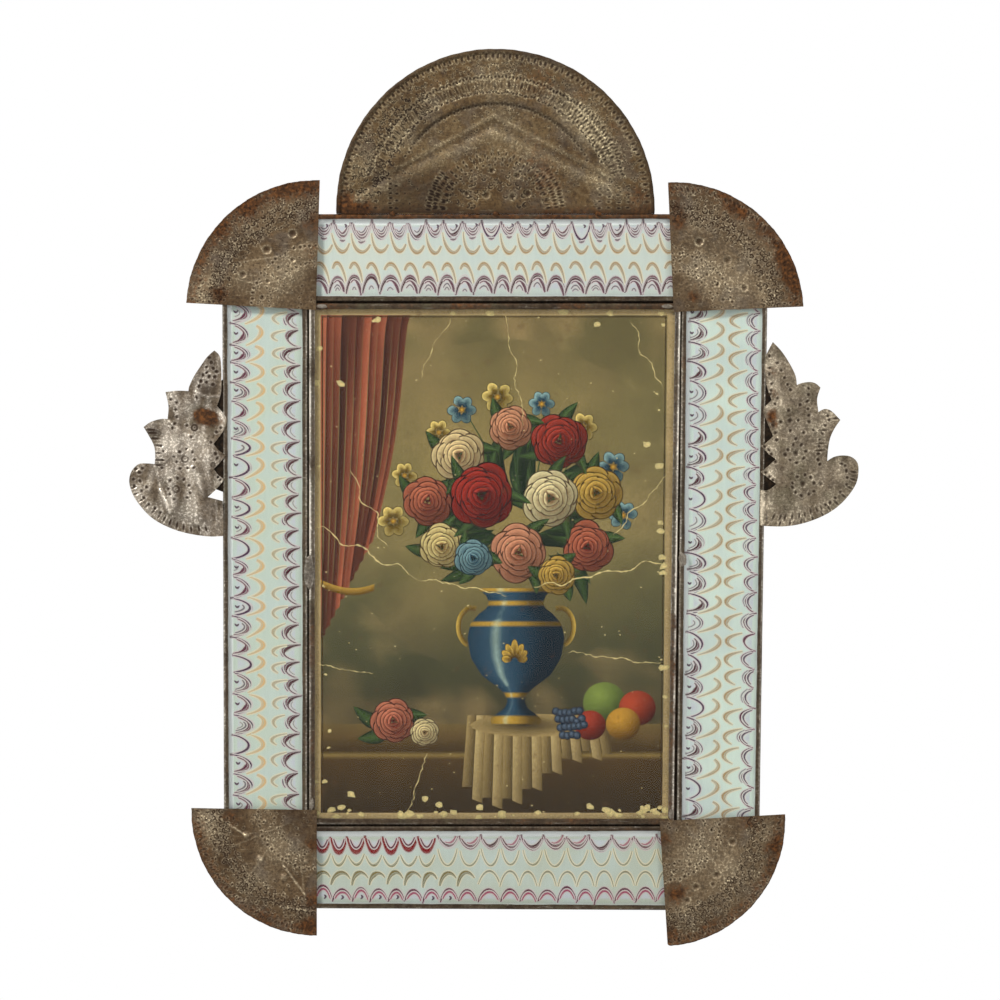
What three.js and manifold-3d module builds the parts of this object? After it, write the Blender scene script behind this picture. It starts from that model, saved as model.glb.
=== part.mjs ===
// A folk picture frame of tinplate and glass, for hanging on a wall.
// A glazed window holds a paper print. Four panels of painted glass are soldered round it, each bound
// in folded tin channels, and punched tin ornaments cover the corners, crown the top and wing the sides.
// Millimetres, x to the right, z up. The front faces -y and the window's back plate lies on y = 0.
import * as THREE from 'three';
import { mergeVertices } from 'three/addons/utils/BufferGeometryUtils.js';
import Module from 'manifold-3d';

const wasm = await Module();
wasm.setup();

// Stock and clearances
const sheet = 0.5;
const clearance = 0.3;
const mitreGap = 0.25;
const glassThickness = 2;
const printThickness = 0.3;
const boardThickness = 2;
const paintedSheetThickness = 0.4;

// Folded channels: the lips that show, those on the rear, the lap of the back sheets and the fold
const windowLip = 4.2;
const panelLip = 3.5;
const rearLip = 6;
const backLap = 3;
const foldRadius = 0.8;

// Window, over its bindings at mid height; its right side leans out towards the top
const windowWidth = 258;
const windowHeight = 365;
const windowLean = 4.9;

// Panels: width across each, the seam to the window, and how far hand fitting leans their long edges
const sidePanelWidth = 59;
const topPanelHeight = 61;
const bottomPanelHeight = 57.5;
const sidePanelOverrun = 4.5;
const seams = { top: 1.5, right: 1.3, bottom: 1.1, left: 1.1 };
const rightInnerLean = 3.7;
const rightOuterLean = 5.7;
const leftOuterLean = -1.2;
const bottomEdgeSlope = 1.3;

// Corner pieces: radius, turn of the square edges, and the lap over the window's corner. One was fitted
// with its worked face to the wall.
const cornerPieces = {
  top_left: { radius: 91, turn: -1.75, span: 88.6, lapX: 4.9, lapZ: 4.7, faceDown: false },
  top_right: { radius: 91, turn: 2.4, span: 90.1, lapX: 5.1, lapZ: 6.1, faceDown: false },
  bottom_right: { radius: 88, turn: 2.9, span: 90.2, lapX: 10, lapZ: 2.6, faceDown: false },
  bottom_left: { radius: 88, turn: -0.9, span: 90.9, lapX: 5.6, lapZ: 10.3, faceDown: true },
};
const cornerSteps = 18;
const cornerInnerBead = { radius: 39, width: 6, height: 0.5 };
const cornerOuterBead = { radius: 71, width: 12, height: 0.6 };
const bossAngles = [20, 45, 70];
const bossRadius = 53;
const bossReach = 4;
const bossDepth = 1.2;
const hem = { width: 1.6, height: 0.5 };

// Crest: a round-topped sheet on a bent foot
const crestRadius = 111.6;
const crestRise = 4;
const crestOffset = 1.6;
const crestSteps = 48;
const crestBead = { radius: 78, width: 8, height: 1.2 };
const rosette = { inner: 31.5, outer: 40, flute: 0.9, floor: 0.3 };
const chevron = { apex: 59, endX: 105, endZ: 12.5, halfWidth: 5, height: 0.9 };
const footDepth = 3.6;
const footInset = 6;

// Wings: cut from one template that is turned over for the other side, and how far their tips hang below
// the window's top edge
const wingHeight = 130.1;
const wingDrop = { left: 33, right: 26.5 };

// Hanger: wire ring, the strip folded round it, and its place on the top panel
const wire = 2;
const ringRadius = 12;
const ringButtGap = 0.6;
const strapWidth = 5;
const strapLoopRadius = 1.8;
const strapTail = 8;
const strapBelowPanelTop = 14;

// Solder: domes on the front laps and fillets in the inner corners
const domeHeight = 0.9;
const cornerDome = { across: 3.2, along: 8 };
const crestDome = { across: 4.5, along: 3.2 };
const crestDomeSpacing = 72;
const seamFillet = { endInset: 14, across: 2.8, deep: 1.8 };
const wingFillet = { length: 18, across: 2, deep: 2, aboveFoot: 13.6 };

// Depth of each layer, front to rear
const windowRear = -sheet - clearance;
const boardRear = windowRear - sheet - clearance;
const printRear = boardRear - boardThickness - clearance;
const glassRear = printRear - printThickness - clearance;
const bindingFront = glassRear - glassThickness - clearance - sheet;
const paintedRear = glassRear + clearance + paintedSheetThickness;
const panelRear = paintedRear + clearance + sheet;
const panelBackRear = panelRear + clearance + sheet;
const ornamentBack = bindingFront - clearance;

const degrees = Math.PI / 180;
const sideNames = ['top', 'right', 'bottom', 'left'];

const tin = new THREE.MeshStandardMaterial({ color: 0x8a7d66, roughness: 0.5, metalness: 0.85 });
const ornamentTin = new THREE.MeshStandardMaterial({ color: 0x6b5b46, roughness: 0.55, metalness: 0.8 });
const backTin = new THREE.MeshStandardMaterial({ color: 0x75705f, roughness: 0.6, metalness: 0.75 });
const clearGlass = new THREE.MeshStandardMaterial({
  color: 0xe8f0ee, roughness: 0.05, metalness: 0, transparent: true, opacity: 0.3,
});
const combedPaint = new THREE.MeshStandardMaterial({ color: 0xcfe0d6, roughness: 0.6, metalness: 0 });
const paper = new THREE.MeshStandardMaterial({ color: 0x9c8a6c, roughness: 0.85, metalness: 0 });
const board = new THREE.MeshStandardMaterial({ color: 0x8c6b47, roughness: 0.85, metalness: 0 });
const solder = new THREE.MeshStandardMaterial({ color: 0xa39a8a, roughness: 0.4, metalness: 0.9 });
const iron = new THREE.MeshStandardMaterial({ color: 0x4e4238, roughness: 0.6, metalness: 0.85 });

const frame = new THREE.Group();

function add(name, geometry, material) {
  const mesh = new THREE.Mesh(geometry, material);
  mesh.name = name;
  frame.add(mesh);
  return mesh;
}

// Solids from points and triangles

function closedSolid(points, triangles) {
  const volume = triangles.reduce((sum, [a, b, c]) => {
    const normal = new THREE.Vector3().crossVectors(points[b], points[c]);
    return sum + points[a].dot(normal);
  }, 0);
  const outward = volume < 0 ? triangles.map(([a, b, c]) => [a, c, b]) : triangles;
  const geometry = new THREE.BufferGeometry().setFromPoints(points);
  geometry.setIndex(outward.flat());
  geometry.computeVertexNormals();
  return geometry;
}

// A prism between two rings of points; flat holds the same outline in a plane, for its end faces.
function prism(flat, place) {
  const outline = THREE.ShapeUtils.isClockWise(flat) ? [...flat].reverse() : flat;
  const count = outline.length;
  const points = [...outline.map((p) => place(p, 0)), ...outline.map((p) => place(p, 1))];
  const triangles = [];
  for (let i = 0; i < count; i++) {
    const next = (i + 1) % count;
    triangles.push([i, next, next + count], [i, next + count, i + count]);
  }
  for (const [a, b, c] of THREE.ShapeUtils.triangulateShape(outline, [])) {
    triangles.push([c, b, a], [a + count, b + count, c + count]);
  }
  return closedSolid(points, triangles);
}

// A flat plate with its outline in x and z
function plate(outline, front, rear) {
  return prism(outline, (p, end) => new THREE.Vector3(p.x, end ? rear : front, p.y));
}

function toSolid(geometry) {
  const bare = geometry.clone();
  bare.deleteAttribute('normal');
  bare.deleteAttribute('uv');
  const merged = mergeVertices(bare, 1e-4);
  return new wasm.Manifold(new wasm.Mesh({
    numProp: 3,
    vertProperties: Float32Array.from(merged.attributes.position.array),
    triVerts: Uint32Array.from(merged.index.array),
  }));
}

function fromSolid(solid) {
  const mesh = solid.getMesh();
  const geometry = new THREE.BufferGeometry();
  geometry.setAttribute('position', new THREE.BufferAttribute(Float32Array.from(mesh.vertProperties), 3));
  geometry.setIndex(new THREE.BufferAttribute(Uint32Array.from(mesh.triVerts), 1));
  geometry.computeVertexNormals();
  return geometry;
}

// Four-sided outlines that need not be square, since the frame was fitted by hand

function quad({ left, right, top, bottom, leftLean = 0, rightLean = 0, bottomSlope = 0 }) {
  return [
    new THREE.Vector2(left + leftLean / 2, top),
    new THREE.Vector2(right + rightLean / 2, top),
    new THREE.Vector2(right - rightLean / 2, bottom - bottomSlope),
    new THREE.Vector2(left - leftLean / 2, bottom),
  ];
}

function inset(corners, depth) {
  const lines = corners.map((corner, i) => {
    const along = corners[(i + 1) % 4].clone().sub(corner).normalize();
    const inward = new THREE.Vector2(along.y, -along.x);
    return { point: corner.clone().addScaledVector(inward, depth), along };
  });
  return corners.map((_, i) => {
    const [before, after] = [lines[(i + 3) % 4], lines[i]];
    const between = after.point.clone().sub(before.point);
    const reach = between.cross(after.along) / before.along.cross(after.along);
    return before.point.clone().addScaledVector(before.along, reach);
  });
}

function edgeX(corners, from, to, z) {
  const [a, b] = [corners[from], corners[to]];
  return a.x + ((b.x - a.x) * (z - a.y)) / (b.y - a.y);
}

// Section of a folded channel as depth inward from the edge and y, with a rounded fold on the front
function channelSection(frontLip, front, rear) {
  const fold = [0, 1, 2, 3].map((i) => {
    const angle = (i / 3) * 90 * degrees;
    return new THREE.Vector2(
      foldRadius - foldRadius * Math.cos(angle),
      front + foldRadius - foldRadius * Math.sin(angle),
    );
  });
  return [
    ...fold,
    new THREE.Vector2(frontLip, front),
    new THREE.Vector2(frontLip, front + sheet),
    new THREE.Vector2(foldRadius, front + sheet),
    new THREE.Vector2(sheet, front + foldRadius),
    new THREE.Vector2(sheet, rear - sheet),
    new THREE.Vector2(rearLip, rear - sheet),
    new THREE.Vector2(rearLip, rear),
    new THREE.Vector2(0, rear),
  ];
}

// One channel along a side of the outline, mitred into its neighbours
function binding(corners, side, frontLip, rear) {
  return prism(channelSection(frontLip, bindingFront, rear), (p, end) => {
    const corner = inset(corners, p.x);
    const [start, finish] = [corner[side], corner[(side + 1) % 4]];
    const along = finish.clone().sub(start).normalize();
    const at = end ? finish.addScaledVector(along, -mitreGap) : start.addScaledVector(along, mitreGap);
    return new THREE.Vector3(at.x, p.y, at.y);
  });
}

function addBindings(prefix, corners, frontLip, rear) {
  sideNames.forEach((name, side) => {
    add(`${prefix}_binding_${name}`, binding(corners, side, frontLip, rear), tin);
  });
}

// Window: back plate, board, print and glass stacked in their channels
const windowOutline = quad({
  left: -windowWidth / 2,
  right: windowWidth / 2,
  top: windowHeight / 2,
  bottom: -windowHeight / 2,
  rightLean: windowLean,
});
const layerInset = sheet + clearance;

const windowStack = inset(windowOutline, layerInset);
add('back_plate', plate(inset(windowOutline, rearLip - backLap), -sheet, 0), backTin);
add('backing_board', plate(windowStack, boardRear - boardThickness, boardRear), board);
add('picture_print', plate(windowStack, printRear - printThickness, printRear), paper);
add('cover_glass', plate(windowStack, glassRear - glassThickness, glassRear), clearGlass);
addBindings('window', windowOutline, windowLip, windowRear);

// Panels of painted glass, one along each side of the window
const panelOutlines = {
  top: quad({
    left: windowOutline[0].x,
    right: windowOutline[1].x,
    top: windowOutline[0].y + seams.top + topPanelHeight,
    bottom: windowOutline[0].y + seams.top,
  }),
  right: quad({
    left: windowWidth / 2 + seams.right,
    right: windowWidth / 2 + seams.right + sidePanelWidth,
    top: windowHeight / 2 + sidePanelOverrun,
    bottom: -windowHeight / 2 - sidePanelOverrun,
    leftLean: rightInnerLean,
    rightLean: rightOuterLean,
  }),
  bottom: quad({
    left: windowOutline[3].x,
    right: windowOutline[2].x,
    top: windowOutline[3].y - seams.bottom,
    bottom: windowOutline[3].y - seams.bottom - bottomPanelHeight,
    bottomSlope: bottomEdgeSlope,
  }),
  left: quad({
    left: -windowWidth / 2 - seams.left - sidePanelWidth,
    right: -windowWidth / 2 - seams.left,
    top: windowHeight / 2 + sidePanelOverrun,
    bottom: -windowHeight / 2 - sidePanelOverrun,
    leftLean: leftOuterLean,
  }),
};

for (const [name, outline] of Object.entries(panelOutlines)) {
  const stack = inset(outline, layerInset);
  add(`${name}_pane`, plate(stack, glassRear - glassThickness, glassRear), clearGlass);
  add(`${name}_painted_sheet`, plate(stack, paintedRear - paintedSheetThickness, paintedRear), combedPaint);
  const backOutline = inset(outline, rearLip - backLap);
  add(`${name}_panel_back`, plate(backOutline, panelBackRear - sheet, panelBackRear), backTin);
  addBindings(`${name}_panel`, outline, panelLip, panelRear);
}

// Embossed sheets: rings of points round a centre, raised towards the front by height(radius, step)

function embossedSheet({ centre, from, span, steps, rings, height, back }) {
  const points = [];
  const surfaces = [back - sheet, back].map((level) => {
    const apex = points.length;
    points.push(new THREE.Vector3(centre.x, level - height(0, 0, from), centre.y));
    rings.forEach((ring) => {
      for (let i = 0; i <= steps; i++) {
        const angle = (from + (span * i) / steps) * degrees;
        const radius = ring(angle);
        points.push(new THREE.Vector3(
          centre.x + radius * Math.cos(angle),
          level - height(radius, i, angle / degrees),
          centre.y + radius * Math.sin(angle),
        ));
      }
    });
    return (ring, i) => (ring < 0 ? apex : apex + 1 + ring * (steps + 1) + i);
  });
  const triangles = [];
  const [front, rear] = surfaces;
  const face = (a, b, c) => triangles.push([a, b, c]);
  for (let i = 0; i < steps; i++) {
    face(front(-1, 0), front(0, i), front(0, i + 1));
    face(rear(-1, 0), rear(0, i + 1), rear(0, i));
    for (let ring = 0; ring < rings.length - 1; ring++) {
      face(front(ring, i), front(ring + 1, i), front(ring + 1, i + 1));
      face(front(ring, i), front(ring + 1, i + 1), front(ring, i + 1));
      face(rear(ring, i), rear(ring + 1, i + 1), rear(ring + 1, i));
      face(rear(ring, i), rear(ring, i + 1), rear(ring + 1, i + 1));
    }
    const rim = rings.length - 1;
    face(front(rim, i), rear(rim, i), rear(rim, i + 1));
    face(front(rim, i), rear(rim, i + 1), front(rim, i + 1));
  }
  for (let ring = -1; ring < rings.length - 1; ring++) {
    face(front(ring, 0), rear(ring, 0), rear(ring + 1, 0));
    face(front(ring, 0), rear(ring + 1, 0), front(ring + 1, 0));
    face(front(ring, steps), rear(ring + 1, steps), rear(ring, steps));
    face(front(ring, steps), front(ring + 1, steps), rear(ring + 1, steps));
  }
  return closedSolid(points, triangles);
}

// A raised bead: flat along its crest, with a quarter of its width sloping on each side
function beadHeight(bead, radius) {
  const away = Math.abs(radius - bead.radius);
  const slope = (bead.width / 2 - away) / (bead.width / 4);
  return bead.height * THREE.MathUtils.clamp(slope, 0, 1);
}

function beadRings(bead) {
  return [-0.5, -0.25, 0.25, 0.5].map((share) => bead.radius + share * bead.width);
}

function hemHeight(reach, radius) {
  return radius > reach - hem.width * 0.75 ? hem.height : 0;
}

function hemRings(reach) {
  return [hem.width, hem.width * 0.7, 0].map((away) => (angle) => reach(angle) - away);
}

// Corner pieces lie over the ends of two panels and the tip of the window
function cornerPiece({ radius, span, faceDown }, centre, from) {
  const reach = () => radius;
  const worked = faceDown ? -1 : 1;
  const plain = [12, 24.5, 31, (cornerOuterBead.radius + bossRadius) / 2 - 1, 83];
  const bossRings = [bossRadius - bossReach, bossRadius, bossRadius + bossReach];
  const rings = [...plain, ...bossRings, ...beadRings(cornerInnerBead), ...beadRings(cornerOuterBead)]
    .sort((a, b) => a - b)
    .map((r) => () => r);
  const bossStep = (angle) => Math.round((angle / 90) * cornerSteps);
  return embossedSheet({
    centre,
    from,
    span,
    steps: cornerSteps,
    rings: [...rings, ...hemRings(reach)],
    back: ornamentBack,
    height: (r, step) => {
      const boss = Math.abs(r - bossRadius) < 0.1 && bossAngles.some((angle) => bossStep(angle) === step);
      const raised = beadHeight(cornerInnerBead, r) + beadHeight(cornerOuterBead, r) + hemHeight(radius, r);
      return raised - (boss ? worked * bossDepth : 0);
    },
  });
}

const cornerPlaces = {
  top_left: { tip: windowOutline[0], inX: 1, inZ: -1, quarter: 90 },
  top_right: { tip: windowOutline[1], inX: -1, inZ: -1, quarter: 0 },
  bottom_right: { tip: windowOutline[2], inX: -1, inZ: 1, quarter: 270 },
  bottom_left: { tip: windowOutline[3], inX: 1, inZ: 1, quarter: 180 },
};

function cornerCentre(name) {
  const { tip, inX, inZ } = cornerPlaces[name];
  const { lapX, lapZ } = cornerPieces[name];
  return new THREE.Vector2(tip.x + inX * lapX, tip.y + inZ * lapZ);
}

for (const [name, piece] of Object.entries(cornerPieces)) {
  const from = cornerPlaces[name].quarter + piece.turn;
  add(`corner_${name}`, cornerPiece(piece, cornerCentre(name), from), ornamentTin);
}

// Crest: beads and a fluted half rosette round the middle of its foot, under a chevron
const panelTop = panelOutlines.top[0].y;
const crestCentre = new THREE.Vector2(crestOffset, panelTop + clearance);

function crestReach(angle) {
  const across = crestRise * Math.cos(angle);
  return crestRise * Math.sin(angle) + Math.sqrt(crestRadius ** 2 - across ** 2);
}

function chevronHeight(x, z) {
  const slope = (chevron.apex - chevron.endZ) / chevron.endX;
  const below = chevron.apex - slope * Math.abs(x) - z;
  const away = Math.abs(below) / Math.hypot(1, slope);
  return Math.abs(x) > chevron.endX ? 0 : chevron.height * Math.max(0, 1 - away / chevron.halfWidth);
}

function crestHeight(radius, step, angle) {
  const rolledRim = hemHeight(crestReach(angle * degrees), radius);
  if (Math.sin(angle * degrees) * radius < footInset / 2) return rolledRim;
  const inRosette = radius > rosette.inner - 0.1 && radius < rosette.outer + 0.1;
  const flute = inRosette ? (step % 2 ? rosette.flute : rosette.floor) : 0;
  const raised = beadHeight(crestBead, radius);
  const x = radius * Math.cos(angle * degrees);
  const z = radius * Math.sin(angle * degrees);
  const band = radius > rosette.outer + 0.1 && radius < crestRadius - 2 * hem.width;
  const ridge = band ? chevronHeight(x, z) : 0;
  return Math.max(flute, raised, ridge) + rolledRim;
}

const crestPlainRings = [12, 22, 29.5, 42, 47, 52, 57, 62, 68, 88, 94, 101];
const crestRings = [...crestPlainRings, rosette.inner, (rosette.inner + rosette.outer) / 2, rosette.outer]
  .concat(beadRings(crestBead))
  .sort((a, b) => a - b)
  .map((r) => () => r);

const crestSheet = embossedSheet({
  centre: crestCentre,
  from: 0,
  span: 180,
  steps: crestSteps,
  rings: [...crestRings, ...hemRings(crestReach)],
  back: bindingFront + sheet,
  height: crestHeight,
});
const footHalf = crestRadius - footInset;
const crestFoot = new THREE.BoxGeometry(2 * footHalf, footDepth, sheet);
crestFoot.translate(
  crestCentre.x,
  bindingFront + sheet / 2 + footDepth / 2,
  crestCentre.y + sheet / 2,
);
add('crest', fromSolid(toSolid(crestSheet).add(toSolid(crestFoot))), ornamentTin);

// Wings: the template gives distance out from the panel's edge and height above the wing's foot
function wingTemplate() {
  const shape = new THREE.Shape();
  shape.moveTo(5.6, wingHeight);
  shape.quadraticCurveTo(18.5, 118.6, 23.8, 101.7);
  shape.quadraticCurveTo(32, 105.1, 39.9, 101);
  shape.quadraticCurveTo(36.6, 90.6, 38.5, 82.1);
  shape.quadraticCurveTo(48, 83.1, 55.3, 76.5);
  shape.quadraticCurveTo(45.5, 64.6, 47.6, 50.6);
  shape.bezierCurveTo(60, 54.6, 66.5, 46.6, 65.5, 37.6);
  shape.bezierCurveTo(63.5, 16.6, 38, 0, -0.3, 0);
  shape.lineTo(-0.3, 24.6);
  shape.lineTo(9.5, 27.6);
  shape.lineTo(-2, 40.1);
  shape.lineTo(6.5, 47.1);
  shape.lineTo(-2.4, 56.9);
  shape.lineTo(6.3, 64.6);
  shape.quadraticCurveTo(1, 76.6, -2.1, 83.9);
  shape.quadraticCurveTo(5.5, 89.6, 2.5, 99.6);
  shape.lineTo(0.7, 108.6);
  shape.lineTo(1, 124.6);
  return shape.getPoints(5);
}

function wingFoot(side) {
  return windowHeight / 2 - wingDrop[side] - wingHeight;
}

function wing(side) {
  const outline = panelOutlines[side];
  const outward = side === 'left' ? -1 : 1;
  const [from, to] = side === 'left' ? [0, 3] : [1, 2];
  const points = wingTemplate().map((p) => {
    const z = p.y + wingFoot(side);
    return new THREE.Vector2(edgeX(outline, from, to, z) + outward * p.x, z);
  });
  return plate(points, ornamentBack - sheet, ornamentBack);
}

add('wing_left', wing('left'), ornamentTin);
add('wing_right', wing('right'), ornamentTin);

// Hanger strap: a strip that runs up the panel's back, round the wire and down again over itself
const strapLevel = panelBackRear + clearance + sheet / 2;
const loopCentreline = strapLoopRadius + sheet / 2;
const ringAxis = new THREE.Vector2(strapLevel + loopCentreline, panelTop - strapBelowPanelTop);

function strapOutline() {
  const outerLeaf = strapLevel + sheet + clearance;
  const turns = 12;
  const sweep = 245 * degrees;
  const loop = Array.from({ length: turns + 1 }, (_, i) => {
    const angle = Math.PI - (sweep * i) / turns;
    return new THREE.Vector2(Math.cos(angle), Math.sin(angle)).multiplyScalar(loopCentreline).add(ringAxis);
  });
  const neck = ringAxis.y - strapLoopRadius - 1.6 * sheet - 0.8;
  const line = [
    new THREE.Vector2(strapLevel, ringAxis.y - strapTail),
    ...loop,
    new THREE.Vector2(outerLeaf, neck),
    new THREE.Vector2(outerLeaf, ringAxis.y - strapTail),
  ];
  const sides = [-1, 1].map((hand) => line.map((p, i) => {
    const before = line[Math.max(i - 1, 0)];
    const after = line[Math.min(i + 1, line.length - 1)];
    const into = p.clone().sub(before).normalize();
    const out = after.clone().sub(p).normalize();
    const along = into.add(out).normalize();
    return p.clone().add(new THREE.Vector2(-along.y, along.x).multiplyScalar((hand * sheet) / 2));
  }));
  return [...sides[0], ...sides[1].reverse()];
}

add('hanger_strap', prism(strapOutline(), (p, end) =>
  new THREE.Vector3(end ? strapWidth / 2 : -strapWidth / 2, p.x, p.y)), backTin);

// Hanging ring: wire bent round until its ends nearly meet, hanging straight down from the strap
class RingPath extends THREE.Curve {
  getPoint(t) {
    const gap = ringButtGap / ringRadius;
    const angle = -Math.PI / 2 + gap / 2 + t * (2 * Math.PI - gap);
    return new THREE.Vector3(
      ringRadius * Math.cos(angle),
      ringAxis.x,
      ringAxis.y - ringRadius + ringRadius * Math.sin(angle),
    );
  }
}

const wireRound = new THREE.EllipseCurve(0, 0, wire / 2, wire / 2).getPoints(8);
const wireSection = new THREE.Shape(wireRound.slice(0, 8));
add('hanging_ring', new THREE.ExtrudeGeometry(wireSection, {
  extrudePath: new RingPath(), steps: 36, bevelEnabled: false,
}), iron);

// Solder: a low dome, flat towards the tin, where the front laps are tacked down
function solderDome(across, tall, level, x, z) {
  const profile = [0, 1, 2, 3].map((i) => {
    const angle = (i / 3) * 90 * degrees;
    return new THREE.Vector2(Math.cos(angle), Math.sin(angle));
  });
  const dome = new THREE.LatheGeometry([new THREE.Vector2(0, 0), ...profile], 12);
  dome.rotateX(Math.PI);
  dome.scale(across / 2, domeHeight, tall / 2);
  dome.translate(x, level - clearance, z);
  return dome;
}

// Each corner is tacked beside a square edge: the top ones on the window's top lip, the others on its side
function cornerDomePlace(name) {
  const { inX, inZ, quarter } = cornerPlaces[name];
  const { turn, span } = cornerPieces[name];
  const centre = cornerCentre(name);
  const lipMiddle = windowLip / 2;
  const beside = clearance + cornerDome.along / 2;
  const [first, last] = [quarter + turn, quarter + turn + span];
  if (inZ < 0) {
    const edge = (inX > 0 ? first : last) * degrees;
    const z = windowHeight / 2 - lipMiddle;
    const x = centre.x + (z - centre.y) / Math.tan(edge) + inX * beside;
    return { x, z, across: cornerDome.along, tall: cornerDome.across };
  }
  const edge = (inX > 0 ? first : last) * degrees;
  const tipX = name === 'bottom_left' ? windowOutline[3].x : windowOutline[2].x;
  const x = tipX + inX * lipMiddle;
  const z = centre.y + (x - centre.x) * Math.tan(edge) + beside;
  return { x, z, across: cornerDome.across, tall: cornerDome.along };
}

for (const name of Object.keys(cornerPieces)) {
  const { x, z, across, tall } = cornerDomePlace(name);
  add(`solder_corner_${name}`, solderDome(across, tall, bindingFront, x, z), solder);
}

['left', 'middle', 'right'].forEach((name, i) => {
  const x = crestOffset + (i - 1) * crestDomeSpacing;
  const z = panelTop + clearance / 2;
  add(`solder_crest_${name}`, solderDome(crestDome.across, crestDome.along, bindingFront, x, z), solder);
});

// A fillet with a hollow face in the inner corner beside an outline's edge, on a surface at the given level
function solderFillet(corners, side, length, { across, deep }, level, shift = 0) {
  const [a, b] = [corners[side], corners[(side + 1) % 4]];
  const along = b.clone().sub(a).normalize();
  const outward = new THREE.Vector2(-along.y, along.x);
  const middle = a.clone().add(b).multiplyScalar(0.5).addScaledVector(along, shift);
  const hollow = [0, 0.25, 0.5, 0.75, 1].map((t) => new THREE.Vector2(across * (1 - t) ** 2, deep * t ** 2));
  return prism([new THREE.Vector2(0, 0), ...hollow], (p, end) => {
    const at = middle.clone()
      .addScaledVector(along, end ? length / 2 : -length / 2)
      .addScaledVector(outward, clearance + p.x);
    return new THREE.Vector3(at.x, level + clearance + p.y, at.y);
  });
}

// Four long fillets fill the seams between the window and the panels from behind
sideNames.forEach((name, side) => {
  const length = windowOutline[side].distanceTo(windowOutline[(side + 1) % 4]) - 2 * seamFillet.endInset;
  add(`solder_seam_${name}`, solderFillet(windowOutline, side, length, seamFillet, panelRear), solder);
});

// A short one holds each wing; the outlines run clockwise, down the right side and up the left one
[['right', 1, -1], ['left', 3, 1]].forEach(([name, side, upward]) => {
  const shift = upward * (wingFoot(name) + wingFillet.aboveFoot);
  const fillet = solderFillet(panelOutlines[name], side, wingFillet.length, wingFillet, ornamentBack, shift);
  add(`solder_wing_${name}`, fillet, solder);
});

export default frame;
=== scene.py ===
import math

import bpy
import numpy as np
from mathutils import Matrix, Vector, noise
from mathutils.geometry import delaunay_2d_cdt


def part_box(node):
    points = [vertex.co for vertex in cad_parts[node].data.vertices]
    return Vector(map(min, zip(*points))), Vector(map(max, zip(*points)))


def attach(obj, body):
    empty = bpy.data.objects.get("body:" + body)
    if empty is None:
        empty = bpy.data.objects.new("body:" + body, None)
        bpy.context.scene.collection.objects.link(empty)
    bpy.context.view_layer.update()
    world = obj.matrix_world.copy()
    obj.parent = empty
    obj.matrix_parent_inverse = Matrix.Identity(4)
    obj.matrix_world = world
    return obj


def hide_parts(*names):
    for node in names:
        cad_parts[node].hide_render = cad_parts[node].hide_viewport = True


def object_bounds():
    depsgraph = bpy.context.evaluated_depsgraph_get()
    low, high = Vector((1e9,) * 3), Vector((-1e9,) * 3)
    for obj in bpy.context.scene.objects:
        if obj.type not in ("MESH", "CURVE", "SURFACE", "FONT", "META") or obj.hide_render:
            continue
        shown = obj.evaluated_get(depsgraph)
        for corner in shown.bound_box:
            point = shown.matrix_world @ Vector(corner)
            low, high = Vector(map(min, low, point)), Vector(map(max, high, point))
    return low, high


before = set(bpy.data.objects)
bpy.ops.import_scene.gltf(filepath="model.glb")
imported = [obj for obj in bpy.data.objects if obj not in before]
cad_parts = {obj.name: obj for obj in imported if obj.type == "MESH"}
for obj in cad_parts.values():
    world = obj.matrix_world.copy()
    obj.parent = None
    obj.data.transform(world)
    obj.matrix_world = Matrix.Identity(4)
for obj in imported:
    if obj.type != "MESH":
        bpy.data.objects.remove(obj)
cad_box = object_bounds()

# Studio: a long lens straight in front, a white surround, a hard lamp high on the left that rakes over
# the tin, a soft one on the right, and a pale floor well below the frame, which hangs.
MM = 0.001
view_centre = Vector((4.8, -8, 44.8)) * MM
view_width = 700 * MM
room_light = 0.32
camera_distance = 4.2
floor_drop = 0.3
floor_half = 2.5


def srgb(hex_colour):
    values = [int(hex_colour[i:i + 2], 16) / 255 for i in (1, 3, 5)]
    linear = [v / 12.92 if v <= 0.04045 else ((v + 0.055) / 1.055) ** 2.4 for v in values]
    return (*linear, 1)


def node(tree, kind, inputs=None, stops=None, **settings):
    """A node with its settings; a node given as an input stands for its first output."""
    made = tree.nodes.new("ShaderNode" + kind)
    for name, value in settings.items():
        setattr(made, name, value)
    for name, value in (inputs or {}).items():
        if isinstance(value, bpy.types.Node):
            value = value.outputs[0]
        if isinstance(value, bpy.types.NodeSocket):
            tree.links.new(value, made.inputs[name])
        else:
            made.inputs[name].default_value = value
    for i, (place, value) in enumerate(stops or []):
        elements = made.color_ramp.elements
        stop = elements[i] if i < 2 else elements.new(place)
        stop.position = place
        stop.color = srgb(value) if isinstance(value, str) else (value, value, value, 1)
    return made


def new_material(name):
    material = bpy.data.materials.new(name)
    material.use_nodes = True
    material.node_tree.nodes.clear()
    return material, material.node_tree


scene = bpy.context.scene
scene.view_settings.view_transform = "Standard"

lens = bpy.data.cameras.new("camera")
lens.sensor_width = 36
lens.lens = lens.sensor_width * camera_distance / view_width
camera = bpy.data.objects.new("camera", lens)
camera.location = view_centre - Vector((0, camera_distance, 0))
camera.rotation_euler = (math.pi / 2, 0, 0)
scene.collection.objects.link(camera)
scene.camera = camera

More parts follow.
